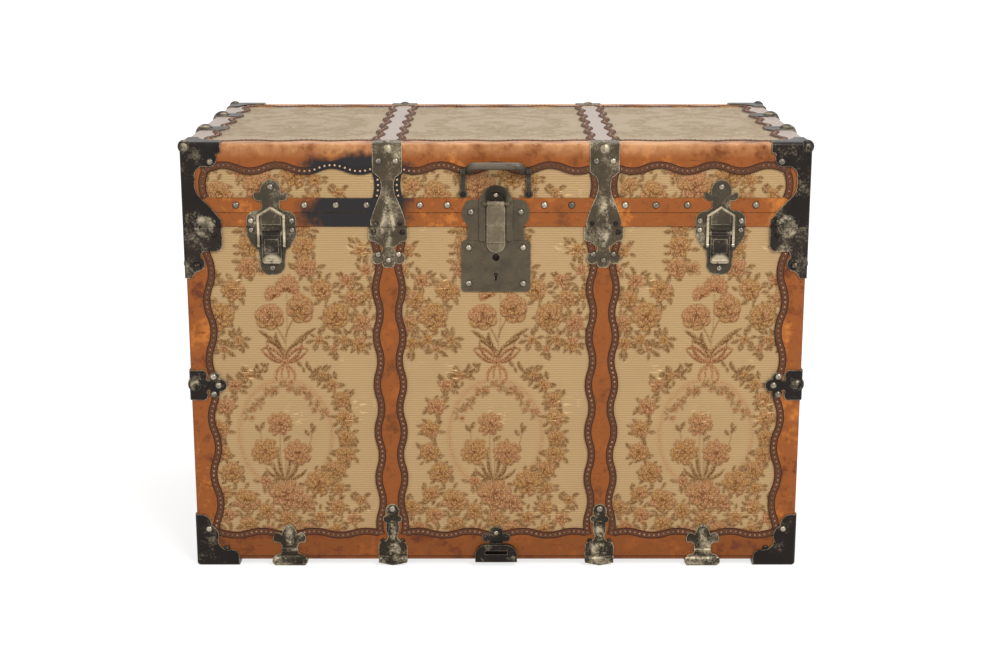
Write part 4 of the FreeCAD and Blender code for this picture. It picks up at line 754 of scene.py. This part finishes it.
def cover(name, face, box, art, middle, material, body, node, cell, hole=None):
    """One woven cover: a fine sheet over a board, closed at its back, with its motifs as an attribute."""
    repeat = bpy.context.scene.trunk_sizes.repeat
    left_edge, right_edge, bottom, top = box
    width, height = right_edge - left_edge, top - bottom
    centre = ((left_edge + right_edge) / 2, (bottom + top) / 2)
    place = axes(face, *centre, cloth)
    bm = bmesh.new()
    bmesh.ops.create_grid(bm, x_segments=round(width / cell), y_segments=round(height / cell), size=0.5)
    bmesh.ops.transform(bm, matrix=Matrix.Diagonal((width * MM, height * MM, 1, 1)), verts=bm.verts)
    if hole:
        low, high = hole
        spots = [(f, place @ f.calc_center_median()) for f in bm.faces]
        inside = [f for f, spot in spots if low.x < spot.x < high.x and low.z < spot.z < high.z]
        bmesh.ops.delete(bm, geom=inside, context="FACES")
    rim = [e for e in bm.edges if e.is_boundary]
    pulled = bmesh.ops.extrude_edge_only(bm, edges=rim)["geom"]
    bmesh.ops.translate(bm, verts=only(bmesh.types.BMVert, pulled), vec=(0, 0, -cloth * MM))
    bmesh.ops.triangle_fill(bm, edges=[e for e in only(bmesh.types.BMEdge, pulled) if e.is_boundary])
    spread = np.array([v.co.xy for v in bm.verts])
    bmesh.ops.transform(bm, matrix=place, verts=bm.verts)
    made = piece(name, bm, material, body)
    mesh = made.data
    order = np.empty(len(mesh.loops), dtype=np.int32)
    mesh.loops.foreach_get("vertex_index", order)
    mesh.uv_layers.new(name="weave").data.foreach_set("uv", spread[order].astype(np.float32).ravel())
    flat = spread / MM + centre
    across = (flat[:, 0] - middle[0] + repeat / 2) % repeat
    up = np.clip(flat[:, 1] - middle[1] - art_low, 0, art.shape[1] - 1.001)
    motif = mesh.color_attributes.new("motif", "FLOAT_COLOR", "POINT")
    motif.data.foreach_set("color", drawn_at(art, across, up).T.astype(np.float32).ravel())
    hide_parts(node)


class TRUNK_OT_covers(bpy.types.Operator):
    """Weave the tapestry covers of the body and the lid"""

    bl_idname = "trunk.covers"
    bl_label = "Woven covers"

    def execute(self, context):
        paint, sizes = palette(), context.scene.trunk_sizes
        cell, fine = sizes.cloth_cell, sizes.fine_cell
        art = garland_art(sizes.repeat)
        threads = [paint.ochre, paint.rose, paint.leaf]
        plain = tapestry_cloth("jacquard tapestry", paint.ground, threads, paint.shade, 1.0)
        sunned = tapestry_cloth(
            "sunned jacquard tapestry", paint.sun_ground, [paint.sun_thread] * len(threads),
            shaded(paint.sun_thread, 0.6), 0.55,
        )
        # heights of a bouquet's middle over the parting line, for the body and for the lid, where only the
        # roses under it show, then shifts of the pattern
        bouquet, roses, lid_shift, front_shift, roof_shift = -335.0, 138.0, -30.0, -6.0, -20.0
        body, lid = (
            tuple(corner.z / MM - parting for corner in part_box(node))
            for node in ("body_front_tapestry", "lid_front_tapestry")
        )
        long_wall, end_wall = (-half_width, half_width), (-half_depth, half_depth)
        for side, face, across, kind, board in (
            ("back", back, long_wall, "back", "back_board"),
            ("left", left, end_wall, "end", "left_end_board"),
            ("right", right, end_wall, "end", "right_end_board"),
        ):
            cover(
                f"body_{side}_cover", face, across + body, art, (0, bouquet), plain, "trunk_body",
                f"body_{kind}_tapestry", cell,
            )
        for side, face, across, kind, shift in (
            ("back", back, long_wall, "back", lid_shift), ("left", left, end_wall, "end", 0),
            ("right", right, end_wall, "end", 0),
        ):
            cover(
                f"lid_{side}_cover", face, across + lid, art, (shift, roses), plain, "lid",
                f"lid_{kind}_tapestry", cell,
            )
        cover(
            "lid_top_cover", roofs[0], long_wall + (0, 2 * half_depth), art, (0, half_depth + roof_shift),
            sunned, "lid", "lid_top_tapestry", cell,
        )
        cover(
            "lid_front_cover", front, long_wall + lid, art, (lid_shift, roses), plain, "lid",
            "lid_front_tapestry", fine,
        )
        # three panels that meet under the straps
        seams = [-half_width, *strap_places, half_width]
        for name, start, end in zip(("left", "middle", "right"), seams, seams[1:]):
            cover(
                "body_front_cover_" + name, front, (start, end) + body, art, (front_shift, bouquet), plain,
                "trunk_body", "body_front_tapestry", fine,
                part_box("lock_case") if name == "middle" else None,
            )
        return {"FINISHED"}


# Leather
class TRUNK_OT_leather(bpy.types.Operator):
    """Finish the leather bindings, straps and valance strips"""

    bl_idname = "trunk.leather"
    bl_label = "Leather"

    def execute(self, context):
        paint = palette()
        tan, light, dark = paint.tan, paint.tan_light, paint.tan_dark
        edged = tanned_leather(
            "tanned cowhide lid binding", light, shaded(tan, 0.92), shaded(tan, 0.55), 0.4,
            paint.sun_leather, paint.tan_highlight, paint.burn,
        )
        finishes = {
            "body_corner_bindings": tanned_leather(
                "tanned cowhide binding", light, shaded(tan, 0.92), dark, 0.45
            ),
            "base_bindings": tanned_leather(
                "handled cowhide base", tan, shaded(tan, 0.72), shaded(dark, 0.9), 0.45, pressed=base_line
            ),
            "body_straps": tanned_leather(
                "tanned cowhide strap", shaded(tan, 1.1), shaded(tan, 0.86), shaded(tan, 0.5), 0.45
            ),
        }
        finishes.update({name: edged for name in lid_leather})
        for name, leather in finishes.items():
            nodes[name].data.materials[0] = leather
        return {"FINISHED"}


# Gimp and studs
# A wavy edge: it runs along u or v of its face, from first to last, and its leather ends at the level edge,
# towards outward. It swells to one side and the other in halves, first towards lead, with gaps left bare.
Run = namedtuple("Run", "face along first last edge outward swell halves lead gaps")


def gimp_runs():
    """Every wavy edge of leather that carries gimp, on the body and on the lid."""
    sizes = bpy.context.scene.trunk_sizes
    strap_gap, overlap, tuck = strap_half - 1, 8.0, 4.0
    turn = sizes.gimp_inset + sizes.gimp_width / 2
    body_end = -parting_gap / 2
    body, lid = [], []
    for s, roof in zip(walls, roofs):
        long_side = s in (front, back)
        reach = leather_half_width if long_side else half_depth + cloth
        corner = (leather_half_width if long_side else leather_half_depth) - corner_band
        halves = round(2 * 2 * reach / band_period)
        gaps = [(p - strap_gap, p + strap_gap) for p in strap_places] if long_side else []
        gaps += [(-reach, -corner - turn), (corner + turn, reach)]
        lid.append(Run(s, "u", reach, -reach, lid_wall_edge, -1, band_wave, halves, 1, gaps))
        lid.append(Run(roof, "u", reach, -reach, lid_roof_edge, 1, band_wave, halves, 1, gaps))
        body.append(Run(s, "u", reach, -reach, base_edge, 1, base_wave, halves, 1, gaps))
        for side in (-1, 1):
            edge = side * corner
            below = [(base_start, base_edge - turn)]
            body.append(Run(s, "v", base_start, body_end, edge, -side, band_wave, 11, -1, below))
            above = [(lid_wall_edge + turn, lid_board_top)]
            lid.append(Run(s, "v", valance_top, lid_board_top, edge, -side, band_wave, 2, -1, above))
            for p in strap_places if long_side else ():
                edge = p + side * strap_half
                below = [(strap_start, base_edge - overlap)]
                body.append(Run(s, "v", strap_start, body_end, edge, side, strap_wave, 14, -1, below))
                above = [(lid_wall_edge + overlap, lid_board_top)]
                lid.append(Run(s, "v", valance_top, lid_board_top, edge, side, strap_wave, 2, -1, above))
    roof_depth = 2 * half_depth
    ends = [(0, lid_roof_edge - tuck), (roof_depth - lid_roof_edge + tuck, roof_depth)]
    for side in (-1, 1):
        for p in strap_places:
            edge = p + side * strap_half
            lid.append(Run(roofs[0], "v", 0, roof_depth, edge, side, strap_wave, 13, -1, ends))
    return body, lid


def along_run(run, share, inset):
    """A point of a run's gimp line, in the face's own millimetres."""
    measure = run.first + (run.last - run.first) * share
    half = min(int(share * run.halves), run.halves - 1)
    within = share * run.halves - half
    bulge = 4 * within * (1 - within) * run.swell * (run.lead if half % 2 == 0 else -run.lead)
    level = run.edge + run.outward * (bulge - inset)
    return (measure, level) if run.along == "u" else (level, measure)


def stretches(run):
    """The parts of a run that show, as shares from start to end."""
    length, least = run.last - run.first, 0.002
    cuts = sorted(tuple(sorted(((a - run.first) / length, (b - run.first) / length))) for a, b in run.gaps)
    start, kept = 0.0, []
    for a, b in cuts:
        if a > start + least:
            kept.append((start, a))
        start = max(start, b)
    if start < 1 - least:
        kept.append((start, 1.0))
    return kept


def stud_shape(diameter):
    """A low dome with a few faces, because there are thousands."""
    reach = diameter / 2 * MM
    bm = bmesh.new()
    bmesh.ops.create_uvsphere(bm, u_segments=8, v_segments=6, radius=reach)
    low = bmesh.ops.bisect_plane(
        bm, geom=bm.verts[:] + bm.edges[:] + bm.faces[:], plane_co=(0, 0, -0.2 * reach), plane_no=(0, 0, -1),
        clear_outer=True,
    )["geom_cut"]
    bmesh.ops.contextual_create(bm, geom=only(bmesh.types.BMEdge, low))
    bmesh.ops.scale(bm, vec=(1, 1, 0.75), verts=bm.verts)
    return meshed("stud shape", bm)


def gimp(runs, name, metal, body, braid, steel):
    """The gimp along some runs, and the studs in it where no metal covers them."""
    sizes = bpy.context.scene.trunk_sizes
    covered = fixed_surface(metal)
    strip, studs = bmesh.new(), bmesh.new()
    weave = strip.loops.layers.uv.new("weave")
    stud = stud_shape(sizes.stud)
    # height of the middle and the sides over the leather, and of runs across over the others
    crown, rim, over = 0.6, 0.35, 0.1
    # height of the studs over the leather, how far the gimp reaches down, and the length of one of its faces
    seat, sunk, step_length = 0.5, 0.6, 4.0
    for run in runs:
        length = abs(run.last - run.first)
        # a small part of a wave, to find which way the edge runs
        step = 0.04 / run.halves
        for start, end in stretches(run):
            steps = max(2, round((end - start) * length / step_length))
            ribbon = bmesh.ops.create_grid(strip, x_segments=steps, y_segments=2, size=0.5)["verts"]
            faces = list(dict.fromkeys(f for v in ribbon for f in v.link_faces))
            for loop in (loop for f in faces for loop in f.loops):
                spot = loop.vert.co
                loop[weave].uv = ((spot.x + 0.5) * (end - start) * length * MM, spot.y + 0.5)
            for v in ribbon:
                share = start + (end - start) * (v.co.x + 0.5)
                here, ahead, behind = (
                    Vector(along_run(run, min(1, max(0, s)), sizes.gimp_inset))
                    for s in (share, share + step, share - step)
                )
                here += (ahead - behind).orthogonal().normalized() * v.co.y * sizes.gimp_width
                lift = skin + (crown if abs(v.co.y) < 0.1 else rim) + (over if run.along == "u" else 0)
                v.co = at(run.face, here.x, here.y, lift)
            under = bmesh.ops.extrude_face_region(strip, geom=faces, use_keep_orig=True)["geom"]
            bmesh.ops.translate(strip, verts=only(bmesh.types.BMVert, under), vec=run.face.out * -sunk * MM)
            count = max(1, round((end - start) * length / sizes.stud_spacing))
            for i in range(count):
                u, v = along_run(run, start + (end - start) * (i + 0.5) / count, sizes.gimp_inset)
                if height_over(covered, run.face, u, v) is None:
                    stamp(studs, stud, axes(run.face, u, v, skin + seat))
    piece(name + "_gimp", strip, braid, body)
    piece(name + "_gimp_studs", studs, steel, body)
    bpy.data.meshes.remove(stud)


class TRUNK_OT_gimp(bpy.types.Operator):
    """Lay the studded gimp along the wavy edges of the leather"""

    bl_idname = "trunk.gimp"
    bl_label = "Gimp and studs"

    def execute(self, context):
        paint = palette()
        braid = gimp_braid("woven gimp", paint.gimp, paint.burn)
        steel = worn_steel("tarnished stud steel", shaded(paint.stud, 0.4), paint.stud, 0.45, 0.35)
        browned = worn_steel(
            "browned stud steel", shaded(paint.stud, 0.3), shaded(paint.stud, 0.85), 0.45, 0.4,
            bright=shaded(paint.stud, 1.5),
        )
        body, lid = gimp_runs()
        gimp(body, "body", body_metal, "trunk_body", braid, steel)
        gimp(lid, "lid", lid_metal, "lid", braid, browned)
        return {"FINISHED"}


# Rivets
def rivet_shape(diameter):
    """A rivet head, turned round its axis: a rounded rim and a dome."""
    bm = bmesh.new()
    reach = diameter / 2 * MM
    profile = [(1.0, -0.3), (1.0, 0.06), (0.93, 0.2), (0.75, 0.38), (0.45, 0.52), (0.0, 0.58)]
    points = [bm.verts.new((r * reach, 0, z * reach)) for r, z in profile]
    chain = [bm.edges.new(pair) for pair in zip(points, points[1:])]
    bmesh.ops.spin(
        bm, geom=points + chain, cent=(0, 0, 0), axis=(0, 0, 1), angle=2 * math.pi, steps=20, use_merge=True
    )
    bmesh.ops.remove_doubles(bm, verts=bm.verts, dist=1e-6)
    bmesh.ops.holes_fill(bm, edges=[e for e in bm.edges if e.is_boundary], sides=0)
    bmesh.ops.recalc_face_normals(bm, faces=bm.faces)
    bm.normal_update()
    # how far each point faces out of the head, for the painted shade on its flanks
    dome = bm.verts.layers.float.new("dome")
    for v in bm.verts:
        v[dome] = max(0.0, v.normal.z)
    return meshed("rivet shape", bm)


def rivets(name, places, surface, body, material):
    """Rivet heads at places on faces, seated on what lies there."""
    bm = bmesh.new()
    for face, u, v, diameter in places:
        w = height_over(surface, face, u, v)
        if w is None:
            raise RuntimeError(f"nothing carries the rivet at {u:.0f}, {v:.0f}")
        shape = rivet_shape(diameter)
        stamp(bm, shape, axes(face, u, v, w))
        bpy.data.meshes.remove(shape)
    piece(name, bm, material, body)


def mirrored(face, spots):
    """The same spots on both sides of a face's middle."""
    return [(face, sign * u, v, d) for u, v, d in spots for sign in (-1, 1)]


def around(face, middle, spots):
    """Spots given from a fitting's middle."""
    return [(face, middle + u, v, d) for u, v, d in spots]


class TRUNK_OT_rivets(bpy.types.Operator):
    """Set the rivets in the leather and the hardware"""

    bl_idname = "trunk.rivets"
    bl_label = "Rivets"

    def execute(self, context):
        paint, head = palette(), context.scene.trunk_sizes.rivet
        nickel = worn_steel(
            "nickelled rivet steel", shaded(paint.nickel, 0.3), paint.nickel, 0.42, 0.25, flank_shaded=True
        )
        dark = worn_steel(
            "lacquered rivet steel", paint.black_steel, paint.bare_steel, 0.52, 0.35, flank_shaded=True
        )
        # middles of the latches, the ends' edge clamps and the hinges, then the floor and the valance's row
        latch, edge_clamp, hinge, floor, row = 329.04, 86.3, 316.24, -parting, 32
        middle = sum(c.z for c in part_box("corner_clamps")) / 2 / MM - parting
        grip = sum(c.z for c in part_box("end_handle_caps")) / 2 / MM - parting
        # each rivet is given as its place across and up and its diameter, in millimetres
        lid, body, lid_dark, body_dark = [], [], [], []
        for s in (front, back):
            lid += mirrored(s, [(u, row, head) for u in (71, 111, 189, 234, 280, 380)])
            for p in strap_places:
                lid += around(s, p, [(-12.3, 97, 10), (12.3, 97, 10)])
                lid_dark += around(s, p, [(-17.5, 5, 7), (17.5, 5, 7)])
                body_dark += around(s, p, [
                    (-21, -8, 8), (21, -8, 8), (-15, floor + 40, 8), (15, floor + 40, 8),
                ])
                body += around(s, p, [(-15, -41, 9), (15, -41, 9), (0, -50, 9), (0, floor + 92, 11)])
        for end in (left, right):
            lid += mirrored(end, [(u, row, head) for u in (25, 75, 125, 175)])
            lid_dark += mirrored(end, [(edge_clamp, 92, 9)])
            body += mirrored(end, [(83, grip + 17.5, 7), (83, grip - 17.5, 7)])
        for s in walls:
            reach = leather_half_width if s in (front, back) else leather_half_depth
            lid += mirrored(s, [(reach - 42, 96, head)])
            lid_dark += mirrored(s, [(reach - 45, 8, 7), (reach - 15, 8, 7)])
            body_dark += mirrored(s, [(reach - 17, -58, 12), (reach - 44, -12, 8)])
            body += mirrored(s, [
                (reach - 34.5, middle + 13.5, 11), (reach - 41.7, middle, 11),
                (reach - 34.5, middle - 14, 11), (reach - 18.5, floor + 60, 10),
            ])
            body_dark += mirrored(s, [(reach - 44, floor + 28, 10)])
        for place in (-latch, latch):
            lid += around(front, place, [(-30, 9, 9.5), (30, 9, 9.5), (0, 59, 10)])
            body += around(front, place, [(-30, -5, 9), (30, -5, 9), (0, -62, 9.5)])
        lid += mirrored(front, [(36.6, 22, 10)]) + [(front, 0, 47, 8)]
        body += mirrored(front, [(40, -31, 10), (40, -85, 10)]) + [(front, 0, floor + 53, 8)]
        lid_dark += mirrored(front, [(48, 48.5, 7)])
        for place in (-hinge, 0, hinge):
            lid_dark += around(back, place, [(-17, 30, 6.5), (17, 30, 6.5), (0, 38, 6.5)])
            body_dark += around(back, place, [(-17, -30, 6.5), (17, -30, 6.5), (0, -38, 6.5)])
        lid_surface = fixed_surface(lid_metal + lid_leather)
        body_surface = fixed_surface(body_metal + body_leather)
        rivets("lid_rivets", lid, lid_surface, "lid", nickel)
        rivets("body_rivets", body, body_surface, "trunk_body", nickel)
        rivets("lid_lacquered_rivets", lid_dark, lid_surface, "lid", dark)
        rivets("body_lacquered_rivets", body_dark, body_surface, "trunk_body", dark)
        return {"FINISHED"}


# Hardware, boards and lining
class TRUNK_OT_hardware(bpy.types.Operator):
    """Finish the stamped steel, the lock and latches, and the handle"""

    bl_idname = "trunk.hardware"
    bl_label = "Hardware"

    def execute(self, context):
        paint = palette()
        black, bare, brown = paint.black_steel, paint.bare_steel, paint.bronze_steel
        dull, iron, rubbed_off = paint.lock_steel, paint.iron, shaded(bare, 1.15)
        # how far the flat of the sheet lies out of the boards, on the clamps and on the corner caps, where
        # the painted highlights of the swells start
        sheet, cap_sheet = 4.5, 5.4
        # the middle of the lever's lip, worn to bare steel and painted brighter still as a painted highlight
        low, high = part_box("latch_lever_right")
        lip = ((low.x + high.x) / 2 / MM, -low.y / MM, low.z / MM)
        # where a painted highlight lies along the top of the handle's grip
        low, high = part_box("front_handle")
        grip = (0, -(low.y + high.y) / 2 / MM, high.z / MM)
        # painted shade in the hood's recess behind the hasp
        recess_shade = (0, half_depth + 8, parting + 47)
        refinish({
            "stamped_steel": worn_steel(
                "lacquered stamped steel", black, shaded(bare, 0.8), 0.62, 0.34, 0.9, swell_highlight_from=cap_sheet
            ),
            "latch_steel": worn_steel("dull stamped steel", shaded(dull, 0.7), bare, 0.58, 0.36, 0.7),
            "lock_steel": worn_steel("dull lock steel", dull, shaded(dull, 1.5), 0.6, 0.42, 0.5),
            "handle_iron": worn_steel(
                "forged iron", shaded(iron, 0.7), shaded(iron, 2.2), 0.6, 0.38, 0.4,
                # a painted highlight on the grip
                (grip, 48, shaded(iron, 1.7)),
            ),
        })
        browned = worn_steel("browned stamped steel", brown, rubbed_off, 0.57, 0.36, 0.9, swell_highlight_from=sheet)
        rubbed = worn_steel(
            "rubbed stamped steel", shaded(brown, 0.4), rubbed_off, 0.55, 0.36, 0.9, swell_highlight_from=sheet
        )
        handled = worn_steel(
            "handled stamped steel", shaded(black, 1.5), bare, 0.55, 0.34, 0.9, swell_highlight_from=cap_sheet
        )
        loop = worn_steel("lacquered loop steel", black, bare, 0.62, 0.34, 0.3)
        # the lever's lip is worn bare and painted brighter as a painted highlight
        lever = worn_steel(
            "lacquered lever steel", shaded(black, 1.6), bare, 0.6, 0.3, 0.5, (lip, 16, shaded(bare, 1.3))
        )
        wire = worn_steel("bright wire steel", shaded(bare, 0.6), shaded(bare, 1.5), 0.42, 0.25)
        hasp = worn_steel("bright hasp steel", shaded(dull, 1.7), bare, 0.58, 0.36, 0.6)
        hood = worn_steel(
            "oiled lock steel", dull, shaded(dull, 1.5), 0.6, 0.42, 0.5, (recess_shade, 20, shaded(dull, 0.15))
        )
        special = {
            "strap_dowels": browned, "strap_sockets": browned, "strap_foot_clamps": rubbed,
            "fleur_clamps": rubbed, "knee_brackets": handled, "strap_loop": loop, "latch_lever_left": lever,
            "latch_lever_right": lever, "latch_bail_left": wire, "latch_bail_right": wire, "hasp": hasp,
            "hasp_plate": hood,
        }
        for name, steel in special.items():
            nodes[name].data.materials[0] = steel
        return {"FINISHED"}


class TRUNK_OT_inside(bpy.types.Operator):
    """Finish the boards and the lining paper"""

    bl_idname = "trunk.inside"
    bl_label = "Boards and lining"

    def execute(self, context):
        paint = palette()
        refinish({
            "wood": planed_wood("planed pine", paint.wood),
            "lining_paper": lining_paper("aged lining paper", paint.paper),
        })
        return {"FINISHED"}


class TRUNK_OT_end_handles(bpy.types.Operator):
    """Make the bowed leather handles on the ends"""

    bl_idname = "trunk.end_handles"
    bl_label = "End handles"

    def execute(self, context):
        paint = palette()
        leather = tanned_leather(
            "handle harness leather", paint.tan, shaded(paint.tan, 0.8), paint.tan_dark, 0.4
        )
        for face, side in ((left, "left"), (right, "right")):
            node = side + "_end_handle"
            low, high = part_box(node)
            # the strap's section, its tails, the bow's rise, the small turn's radius, the edges' rounding
            thick, wide, tail, rise, tight, edge = 7.0, 28.0, 34.0, 27.0, 20.0, 2.2
            flat = (high.y - low.y) / 2 / MM - tail
            # a bow that meets the tails through a small turn
            turn = 2 * math.atan((rise - cloth) / flat)
            bow = flat / math.sin(turn) - tight
            bm = bmesh.new()
            half, top = wide / 2, rise + thick
            corners = [(0, -half, rise), (0, half, rise), (0, half, top), (0, -half, top)]
            end = bm.faces.new([bm.verts.new(Vector(c) * MM) for c in corners])
            for x, z, angle, steps in ((0, rise - bow, turn, 16), (flat, cloth + tight, -turn, 8)):
                spun = bmesh.ops.spin(
                    bm, geom=[end], cent=(x * MM, 0, z * MM), axis=(0, 1, 0), angle=angle, steps=steps
                )
                end = only(bmesh.types.BMFace, spun["geom_last"])[0]
            pulled = bmesh.ops.extrude_face_region(bm, geom=[end])["geom"]
            bmesh.ops.delete(bm, geom=[end], context="FACES_ONLY")
            bmesh.ops.translate(bm, verts=only(bmesh.types.BMVert, pulled), vec=(tail * MM, 0, 0))
            inner = [f for f in bm.faces if all(abs(v.co.x) < 1e-6 for v in f.verts)]
            bmesh.ops.delete(bm, geom=inner, context="FACES_ONLY")
            bmesh.ops.mirror(bm, geom=bm.verts[:] + bm.edges[:] + bm.faces[:], axis="X", merge_dist=1e-5)
            bmesh.ops.remove_doubles(bm, verts=bm.verts, dist=1e-6)
            # edges that turn by more than this, in radians, are rounded
            square = 1.2
            long_edges = [e for e in bm.edges if e.calc_face_angle(0) > square]
            bmesh.ops.bevel(
                bm, geom=long_edges, offset=edge * MM, segments=3, profile=0.5, material=-1, affect="EDGES"
            )
            middle = (low.z + high.z) / 2 / MM - parting
            bmesh.ops.transform(bm, matrix=axes(face, 0, middle, 0), verts=bm.verts)
            made = piece(side + "_strap_handle", bm, leather, "trunk_body")
            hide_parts(node)
        return {"FINISHED"}


# Stage
class TRUNK_OT_stage(bpy.types.Operator):
    """Set the floor, the soft lights and the camera"""

    bl_idname = "trunk.stage"
    bl_label = "Stage"

    def execute(self, context):
        scene, white = context.scene, (1, 1, 1, 1)
        bm = bmesh.new()
        bmesh.ops.create_grid(bm, x_segments=1, y_segments=1, size=30)
        mesh = meshed("studio_floor", bm)
        floor = bpy.data.objects.new("studio_floor", mesh)
        scene.collection.objects.link(floor)
        material = bpy.data.materials.new("white studio paper")
        material.use_nodes = True
        tree = material.node_tree
        tree.nodes.clear()
        plain = add(tree, "BsdfDiffuse", (0.75, 0.75, 0.75, 1))
        # the paper stays white away from the trunk, where the lamps don't reach
        away = add(tree, "VectorMath", add(tree, "TexCoord").outputs["Object"], operation="LENGTH")
        far = add(tree, "MapRange", away, 0.8, 3.0, 0.76, 0.95)
        glow = add(tree, "Emission", white, far)
        lit = add(tree, "AddShader", glow, add(tree, "BsdfDiffuse", (0.4, 0.4, 0.4, 1)))
        add(tree, "OutputMaterial", add(tree, "MixShader", self.seen_rays(tree), plain, lit))
        mesh.materials.append(material)

        scene.world = bpy.data.worlds.new("studio")
        scene.world.use_nodes = True
        tree = scene.world.node_tree
        tree.nodes.clear()
        soft, full = (add(tree, "Background", white, strength) for strength in (0.36, 1.0))
        add(tree, "OutputWorld", add(tree, "MixShader", self.seen_rays(tree), soft, full))

        trunk_middle = Vector((0, 0, 0.33))
        for name, place, power, spread in (
            ("key", (1.5, -3.0, 2.9), 108, 1.6), ("fill", (-2.4, -3.0, 1.6), 30, 2.4),
            ("top", (0.2, 0.4, 3.0), 40, 2.0),
        ):
            lamp = bpy.data.lights.new(name, "AREA")
            lamp.energy, lamp.size = power, spread
            light = bpy.data.objects.new(name, lamp)
            light.location = place
            light.rotation_euler = (trunk_middle - light.location).to_track_quat("-Z", "Y").to_euler()
            scene.collection.objects.link(light)

        # eye height, distance and tilt that the photograph's edges give
        lens = bpy.data.cameras.new("camera")
        lens.sensor_width, lens.lens = 36.0, 62.8
        tilt = math.radians(13.93)
        camera = bpy.data.objects.new("camera", lens)
        camera.location = (0.006, -2.775, 0.9919)
        camera.rotation_euler = (math.pi / 2 - tilt, 0, 0)
        scene.collection.objects.link(camera)
        scene.camera = camera
        scene.view_settings.view_transform = "Standard"
        return {"FINISHED"}

    def seen_rays(self, tree):
        """1 for rays from the camera, off gloss or through glass, which see white."""
        path = add(tree, "LightPath").outputs
        first = add(tree, "Math", path["Is Camera Ray"], path["Is Glossy Ray"], operation="MAXIMUM")
        return add(tree, "Math", first, path["Is Transmission Ray"], operation="MAXIMUM")


class TRUNK_PT_pieces(bpy.types.Panel):
    """Lists the trunk's pieces, sizes and colours"""

    bl_idname = "TRUNK_PT_pieces"
    bl_label = "Steamer trunk"
    bl_space_type = "VIEW_3D"
    bl_region_type = "UI"
    bl_category = "Trunk"

    def draw(self, context):
        for operator in operators:
            self.layout.operator(operator.bl_idname)
        for group in (context.scene.trunk_sizes, context.scene.trunk_colours):
            for key in group.__annotations__:
                self.layout.prop(group, key)


operators = (
    TRUNK_OT_stage, TRUNK_OT_covers, TRUNK_OT_leather, TRUNK_OT_hardware, TRUNK_OT_inside, TRUNK_OT_gimp,
    TRUNK_OT_rivets, TRUNK_OT_end_handles,
)
classes = (TrunkSizes, TrunkColours) + operators + (TRUNK_PT_pieces,)


def register():
    for item in classes:
        bpy.utils.register_class(item)
    bpy.types.Scene.trunk_sizes = bpy.props.PointerProperty(type=TrunkSizes)
    bpy.types.Scene.trunk_colours = bpy.props.PointerProperty(type=TrunkColours)


def unregister():
    del bpy.types.Scene.trunk_colours
    del bpy.types.Scene.trunk_sizes
    for item in reversed(classes):
        bpy.utils.unregister_class(item)


def main():
    register()
    bpy.ops.trunk.stage()
    bpy.ops.trunk.covers()
    bpy.ops.trunk.leather()
    bpy.ops.trunk.hardware()
    bpy.ops.trunk.inside()
    bpy.ops.trunk.gimp()
    bpy.ops.trunk.rivets()
    bpy.ops.trunk.end_handles()


if __name__ == "__main__":
    main()
